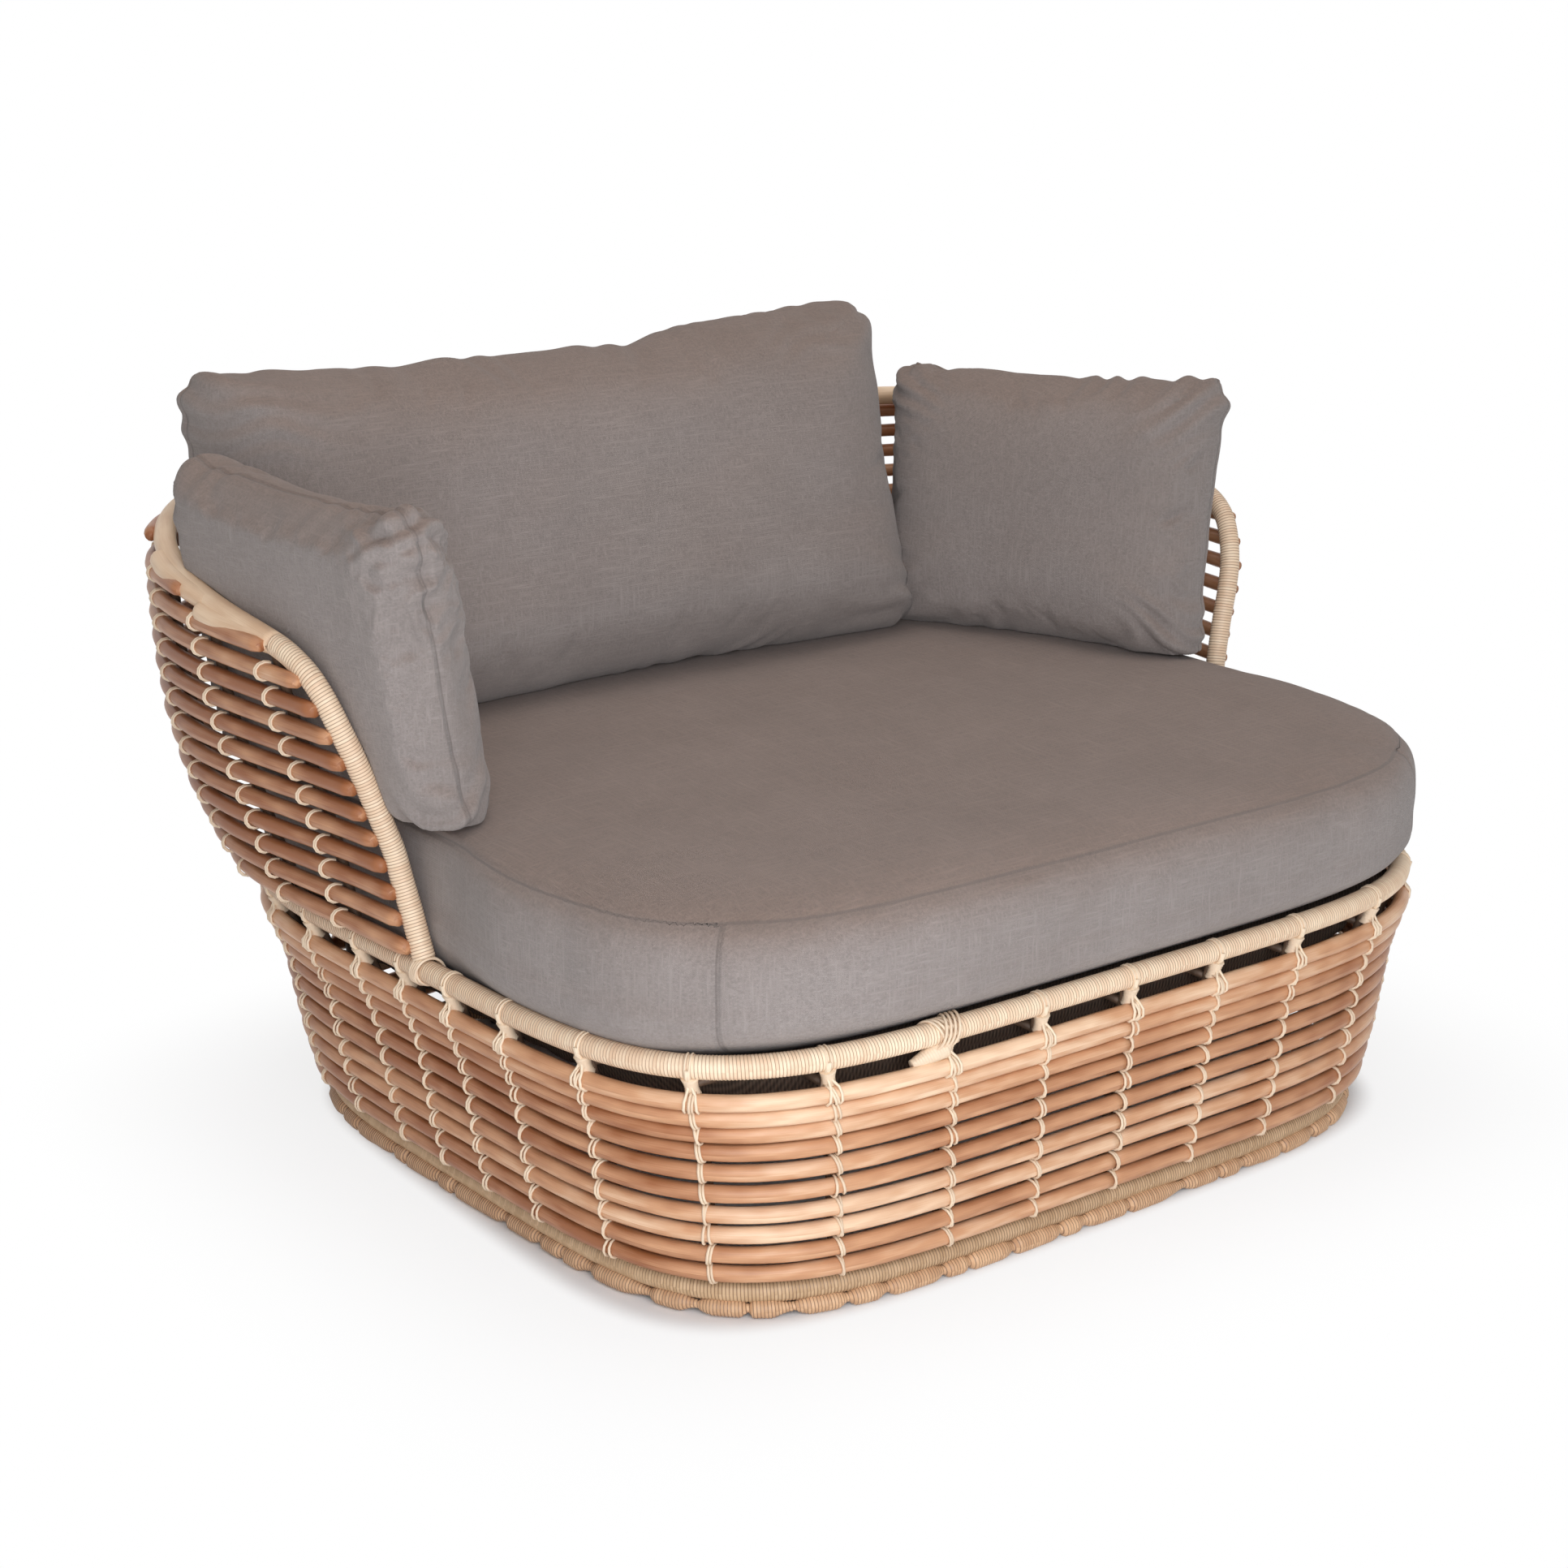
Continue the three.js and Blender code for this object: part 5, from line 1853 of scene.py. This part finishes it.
@dataclass
class LoosePillow(SoftForm):
    """A loose cushion: two full faces sewn together at a seam all round, with rounded corners.

    Dips are (place across, depth, width) of hollows in its top edge, in shares of the half width
    and metres. Size is that of the filled cushion, and grown says how much larger its cut is, because
    filling draws its edges in and swells its faces.
    """

    node: str = "back_cushion"
    body: Body = Body.BACK
    size: tuple[float, float, float] = (0.916, 0.419, 0.185)
    middle: tuple[float, float] = (-0.119, 0.392)
    floor_z: float = 0.4351
    lean: float = 14.0
    tilt: float = -0.8
    turn: float = 0.0
    grown: tuple[float, float, float] = (0.022, 0.018, -0.018)
    corner: float = 0.042
    edge_reach: float = 0.15
    edge_power: float = 2.3
    draw: float = 0.018
    front_share: float = 0.57
    sit: float = 0.05
    dips: tuple[tuple[float, float, float], ...] = (
        *((-0.5, 0.005, 0.22), (-0.08, 0.010, 0.26)),
        *((0.24, 0.010, 0.12), (0.95, 0.006, 0.12)),
    )
    gather: float = 0.0014
    pucker: float = 0.0028
    gather_pitch: float = 0.055
    seam_width: float = 0.004
    seam_depth: float = 0.0012
    lump: float = 0.006
    crumple: float = 0.0
    crumple_side: float = 1.0
    back_limit: float = 0.1
    back_softness: float = 0.008
    contact_gap: float = 0.0006
    foot_clear: float = 0.004
    dent_reach: float = 0.03
    seed: float = 4.0
    columns: int = 72
    rows: int = 40

    def cut(self) -> tuple[float, float, float]:
        """Width, height and thickness before the cushion is filled."""
        return tuple(size + more for size, more in zip(self.size, self.grown))

    def faces(self) -> Object:
        """The two faces, front and back, welded along the seam, before the cushion is placed."""
        bm = bmesh.new()
        bmesh.ops.create_grid(bm, x_segments=self.columns, y_segments=self.rows, size=1)
        mesh = bpy.data.meshes.new(self.node)
        bm.to_mesh(mesh)
        bm.from_mesh(mesh)
        bm.to_mesh(mesh)
        bm.free()
        flat = mesh_points(mesh)
        flat = np.sin(flat[:, :2] / np.abs(flat[:, :2]).max() * math.pi / 2)
        x, z, inside = self.plan(flat)
        half = len(x) // 2
        side = np.where(np.arange(len(x)) < half, -1.0, 1.0)
        share = np.where(side < 0, self.front_share, 1 - self.front_share)
        short = 1 - np.minimum(inside / self.edge_reach, 1)
        full = (1 - short**self.edge_power) ** (1 / self.edge_power)
        width, height, thickness = self.cut()
        depth = side * share * thickness * full
        across, up = 2 * x / width, 2 * z / height
        x = x * (1 - self.draw * (1 - up**2))
        z = z * (1 - 2 * self.draw * (1 - across**2))
        set_points(mesh, np.stack([x, depth, z], axis=-1))
        bm = bmesh.new()
        bm.from_mesh(mesh)
        bmesh.ops.remove_doubles(bm, verts=bm.verts, dist=1e-5)
        bmesh.ops.recalc_face_normals(bm, faces=bm.faces)
        bm.to_mesh(mesh)
        bm.free()
        return placed(self.node, mesh)

    def plan(self, square: np.ndarray) -> tuple[np.ndarray, np.ndarray, np.ndarray]:
        """Fits a square of places into the cushion's plan with its rounded corners.

        Args:
            square: Places from -1 to 1 both ways.

        Returns:
            Places across and up in metres, and how far inside the edge they are.
        """
        half_width, half_height = self.cut()[0] / 2, self.cut()[1] / 2
        ring = np.maximum(np.abs(square).max(axis=1), 1e-9)
        edge = square / ring[:, None] * np.array([half_width, half_height])
        room = np.array([half_width - self.corner, half_height - self.corner])
        over = np.abs(edge) - room
        rounded = (over > 0).all(axis=1)
        size = np.linalg.norm(over, axis=1)
        turned = np.sign(edge) * (room + over * (self.corner / np.maximum(size, 1e-9))[:, None])
        edge = np.where(rounded[:, None], turned, edge)
        spot = edge * ring[:, None]
        past = np.abs(spot) - room
        outside = np.linalg.norm(np.maximum(past, 0), axis=1)
        inside = self.corner - outside - np.minimum(past.max(axis=1), 0)
        return spot[:, 0], spot[:, 1], np.maximum(inside, 0)

    def sculpted(self, made: Object) -> None:
        """Adds the hollows of the top edge, the gathers at the seam, lumps and the seam itself."""
        points, normals = mesh_points(made.data), mesh_normals(made.data)
        half_width, half_height = self.size[0] / 2, self.size[1] / 2
        across, up = points[:, 0] / half_width, points[:, 2] / half_height
        for place, depth, width in self.dips:
            hollow = np.exp(-(((across - place) / width) ** 2)) * smoothstep(up, 0.1, 1.0)
            points[:, 2] -= depth * hollow
        edge = np.maximum(np.abs(across), np.abs(up))
        near = smoothstep(edge, 0.62, 0.97)
        round_about = np.where(np.abs(across) > np.abs(up), points[:, 2], points[:, 0])
        wavering = self.field_noise(points, (9, 9, 9), 1.7)
        strength = np.maximum(self.field_noise(points, (7, 3, 7), 5.3) + 0.25, 0)
        gathers = np.sin(TURN * (round_about / self.gather_pitch + 1.3 * wavering)) * near * strength
        corner = smoothstep(np.abs(across), 0.45, 0.95) * smoothstep(np.abs(up), 0.35, 0.95)
        pucker = np.sin(TURN * (np.arctan2(up, across) * 6 + 1.5 * wavering)) * corner
        lumps = self.field_noise(points, (6, 6, 6), 9.9) + 0.4 * self.field_noise(points, (14, 14, 14), 2.2)
        seam = np.exp(-((points[:, 1] / self.seam_width) ** 2)) * smoothstep(edge, 0.85, 0.95)
        lift = 2 * self.gather * gathers + self.pucker * pucker + self.lump * lumps * (1 - 0.5 * near)
        lift -= self.seam_depth * seam
        creased = smoothstep(across * self.crumple_side, 0.35, 0.9) * smoothstep(up, -0.3, 0.7)
        ridges = 0.5 - 2 * np.abs(self.field_noise(points, (26, 30, 26), 4.4))
        ridges += 0.5 * (0.5 - 2 * np.abs(self.field_noise(points, (52, 60, 52), 7.7)))
        lift += self.crumple * ridges * creased
        toned(made, points[:, 1], "seam")
        toned(made, 0.05, "upright_seam")
        points = points + normals * lift[:, None]
        past = np.maximum(points[:, 1] - self.back_limit + self.back_softness, 0)
        points[:, 1] += self.back_softness * (1 - np.exp(-past / self.back_softness)) - past
        set_points(made.data, points)

    def pose(self, made: Object) -> None:
        """Places the cushion: leant, turned and flattened where it sits."""
        turns = (math.radians(degrees) for degrees in (self.lean, self.tilt, self.turn))
        (c_lean, s_lean), (c_tilt, s_tilt), (c_turn, s_turn) = ((math.cos(a), math.sin(a)) for a in turns)
        about_x = np.array([[1, 0, 0], [0, c_lean, s_lean], [0, -s_lean, c_lean]])
        about_y = np.array([[c_tilt, 0, s_tilt], [0, 1, 0], [-s_tilt, 0, c_tilt]])
        about_z = np.array([[c_turn, -s_turn, 0], [s_turn, c_turn, 0], [0, 0, 1]])
        middle = np.array([self.middle[0], self.middle[1] + SHIFT_Y, self.floor_z])
        middle[2] += self.size[1] * (0.5 - self.sit)
        moved = mesh_points(made.data) @ (about_z @ about_x @ about_y).T + middle
        under = self.floor_z - moved[:, 2]
        moved[:, 2] = np.where(under > 0, self.floor_z + 0.0004 * np.exp(-under / 0.01), moved[:, 2])
        set_points(made.data, moved)

    def pressed(self, made: Object, other: Object) -> None:
        """Flattens the cushion's end against another cushion that stands behind it."""
        tree = face_tree(other)
        forward = Vector((0.0, -1.0, 0.0))
        points = mesh_points(made.data)
        near, foot = mesh_points(other.data)[:, 1:].min(axis=0)
        for index in np.flatnonzero(points[:, 1] > near):
            start = Vector(points[index])
            start.z = max(start.z, foot + self.foot_clear)
            hit, normal, _, _ = tree.ray_cast(start, forward)
            if hit is not None and normal.dot(forward) > 0:
                points[index, 1] = hit.y - self.contact_gap
        set_points(made.data, points)

    def dented(self, made: Object, other: Object) -> None:
        """Moves what is inside a hard piece out to its nearest face."""
        tree = face_tree(other)
        points, hard = mesh_points(made.data), mesh_points(other.data)
        near = ((points > hard.min(axis=0)) & (points < hard.max(axis=0))).all(axis=1)
        for index in np.flatnonzero(near):
            place = Vector(points[index])
            spot, normal, _, _ = tree.find_nearest(place, self.dent_reach)
            if spot is not None and (place - spot).dot(normal) < self.contact_gap:
                points[index] = spot + normal * self.contact_gap
        set_points(made.data, points)

    def build(self, behind: Object | None = None, against: Sequence[Object] = ()) -> Object:
        """Makes the cushion.

        Args:
            behind: A cushion that it leans its end on.
            against: Hard pieces that dent it.

        Returns:
            The cushion.
        """
        made = self.faces()
        self.remeshed(made)
        self.inflated(made, lambda start: np.ones(len(start)))
        self.refined(made)
        self.sculpted(made)
        self.pose(made)
        if behind:
            self.pressed(made, behind)
        for piece in against:
            self.dented(made, piece)
        return self.finished(made, self.body, self.node, 0.6)


# Studio


@dataclass
class Studio:
    """Floor, backdrop, lamps and the camera at the photograph's angle."""

    azimuth: float = -36.1
    elevation: float = 17.89
    distance: float = 3.0154
    target: tuple[float, float, float] = (-0.091, -0.0613, 0.3837)
    focal: float = 62.94
    sensor: float = 36.0
    sky_strength: float = 0.30
    lit_place: tuple[float, float, float] = (0.0, 0.0, 0.4)
    plan_half: tuple[float, float] = (0.505, 0.423)
    plan_fullness: float = 4.8
    shadow_edge: tuple[tuple[float, float], float] = ((1.0, 1.07), 0.80)
    shadow_reach: tuple[tuple[float, float], float] = ((1.07, 1.7), 0.20)

    def camera(self) -> None:
        """Places the camera."""
        az, el = math.radians(self.azimuth), math.radians(self.elevation)
        back = Vector((math.sin(az) * math.cos(el), -math.cos(az) * math.cos(el), math.sin(el)))
        data = bpy.data.cameras.new("camera")
        data.lens = self.focal
        data.sensor_width = self.sensor
        made = bpy.data.objects.new("camera", data)
        made.location = Vector(self.target) + back * self.distance
        made.rotation_euler = (-back).to_track_quat("-Z", "Y").to_euler()
        bpy.context.scene.collection.objects.link(made)
        bpy.context.scene.camera = made

    def white(self, name: str) -> Material:
        """A floor that takes the object's shadow close by and is seen as plain white further out."""
        shader = Shader(name, 0.9)
        shader.surface.inputs["Base Color"].default_value = (0.93, 0.93, 0.93, 1)
        places = shader.node("ShaderNodeTexCoord")
        moved = shader.node("ShaderNodeVectorMath", operation="SUBTRACT", _0=places.outputs["Object"])
        moved.inputs[1].default_value = (0.0, SHIFT_Y, 0.0)
        span = shader.node("ShaderNodeVectorMath", operation="DIVIDE", _0=moved.outputs["Vector"])
        span.inputs[1].default_value = (*self.plan_half, 1.0)
        axes = shader.node("ShaderNodeVectorMath", operation="ABSOLUTE", _0=span.outputs["Vector"])
        parts = shader.node("ShaderNodeSeparateXYZ", Vector=axes.outputs["Vector"])
        raised = []
        for axis in ("X", "Y"):
            raised.append(shader.work("POWER", parts.outputs[axis], self.plan_fullness))
        away = shader.work("POWER", shader.work("ADD", *raised), 1 / self.plan_fullness)
        shares = []
        for reach, most in (self.shadow_edge, self.shadow_reach):
            shares.append(spanned(shader.tree, away, reach, (0.0, most), smooth=True))
        share = shader.work("MULTIPLY", shader.work("ADD", *shares), self.in_view(shader.tree))
        plain = shader.node("ShaderNodeEmission", Strength=1.0)
        mixed = shader.node(
            "ShaderNodeMixShader", _0=share, _1=shader.surface.outputs["BSDF"], _2=plain.outputs["Emission"]
        )
        output = shader.tree.nodes["Material Output"]
        shader.tree.links.new(mixed.outputs["Shader"], output.inputs["Surface"])
        return shader.material

    def in_view(self, tree: NodeTree) -> NodeSocket:
        """Value of 1 for what the camera, a mirror or a glass sees."""
        rays = tree.nodes.new("ShaderNodeLightPath")
        seen = rays.outputs["Is Camera Ray"]
        for kind in ("Is Glossy Ray", "Is Transmission Ray"):
            seen = worked(tree, "MAXIMUM", seen, rays.outputs[kind])
        return seen

    def floor(self) -> None:
        """A wide level floor."""
        mesh = bpy.data.meshes.new("floor")
        bm = bmesh.new()
        bmesh.ops.create_grid(bm, x_segments=8, y_segments=8, size=30)
        bm.to_mesh(mesh)
        bm.free()
        made = placed("floor", mesh)
        mesh.materials.append(self.white("floor_white"))

    def world(self) -> None:
        """White all round, softer on the object than in view."""
        world = bpy.data.worlds.new("studio")
        bpy.context.scene.world = world
        world.use_nodes = True
        tree = world.node_tree
        sky = tree.nodes["Background"]
        sky.inputs["Color"].default_value = (1, 1, 1, 1)
        level = spanned(tree, self.in_view(tree), (0.0, 1.0), (self.sky_strength, 1.0))
        tree.links.new(level, sky.inputs["Strength"])

    def lamp(
        self, name: str, place: Sequence[float], size: float, power: float, colour: Colour = (1, 1, 1)
    ) -> None:
        """A large soft lamp that points at the chair."""
        data = bpy.data.lights.new(name, "AREA")
        data.shape = "SQUARE"
        data.size = size
        data.energy = power
        data.color = colour
        made = bpy.data.objects.new(name, data)
        made.location = place
        towards = Vector(place) - Vector(self.lit_place)
        made.rotation_euler = towards.to_track_quat("Z", "Y").to_euler()
        made.visible_camera = False
        bpy.context.scene.collection.objects.link(made)

    def build(self) -> None:
        """Sets up the studio."""
        self.camera()
        self.floor()
        self.world()
        self.lamp("key", (-1.2, -2.2, 1.15), 1.7, 40, (0.96, 1.0, 1.07))
        self.lamp("fill", (-3.4, -1.6, 1.7), 2.6, 4)
        self.lamp("top", (0.15, -0.1, 3.6), 3.0, 47)


def main() -> None:
    """Builds the chair piece by piece and sets up the studio."""
    logging.basicConfig(level=logging.INFO, format="%(name)s %(message)s")
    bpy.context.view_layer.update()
    bpy.context.scene.view_settings.view_transform = "Standard"
    wardrobe = Wardrobe()
    wall = BasketWall()
    stations = Stations(wall)
    rail = RailLine(wall, stations)
    Studio().build()
    shared = (wall, stations, wardrobe)
    WoundRings(*shared).build()
    rods = CaneRods(*shared, rail)
    rods.build()
    RibHoops(*shared).build()
    back = BackFrame(*shared, rail)
    back.build()
    Lashings(*shared, rods, back).build()
    RimTies(*shared, rods, rail).build()
    DeckAndFeet(*shared).build()
    SeatCushion(wardrobe, wall=wall, stations=stations).build()
    behind = LoosePillow(wardrobe).build()
    rail_pieces = [bpy.data.objects[name] for name in ("rail_bend_left", "back_rail", "rail_splices")]
    arm = {"size": (0.415, 0.346, 0.136), "lean": 9.0, "tilt": 0.0, "voxel": 0.005, "pucker": 0.0034}
    LoosePillow(
        wardrobe,
        node="arm_cushion_left",
        body=Body.LEFT,
        middle=(-0.572, 0.1339896),
        floor_z=0.4347,
        turn=97.5,
        back_limit=0.0485,
        seed=12.0,
        grown=(0.012, 0.012, -0.026),
        dips=(),
        crumple=0.0066,
        crumple_side=-1.0,
        **arm,
    ).build(behind, rail_pieces)
    LoosePillow(
        wardrobe,
        node="arm_cushion_right",
        body=Body.RIGHT,
        middle=(0.464, 0.20004113),
        turn=-65.0,
        seed=23.0,
        grown=(0.040, 0.017, -0.018),
        dips=((-0.85, 0.012, 0.25), (-0.2, 0.004, 0.3)),
        crumple=0.0026,
        crumple_side=-1.0,
        **arm,
    ).build(behind)


if __name__ == "__main__":
    main()
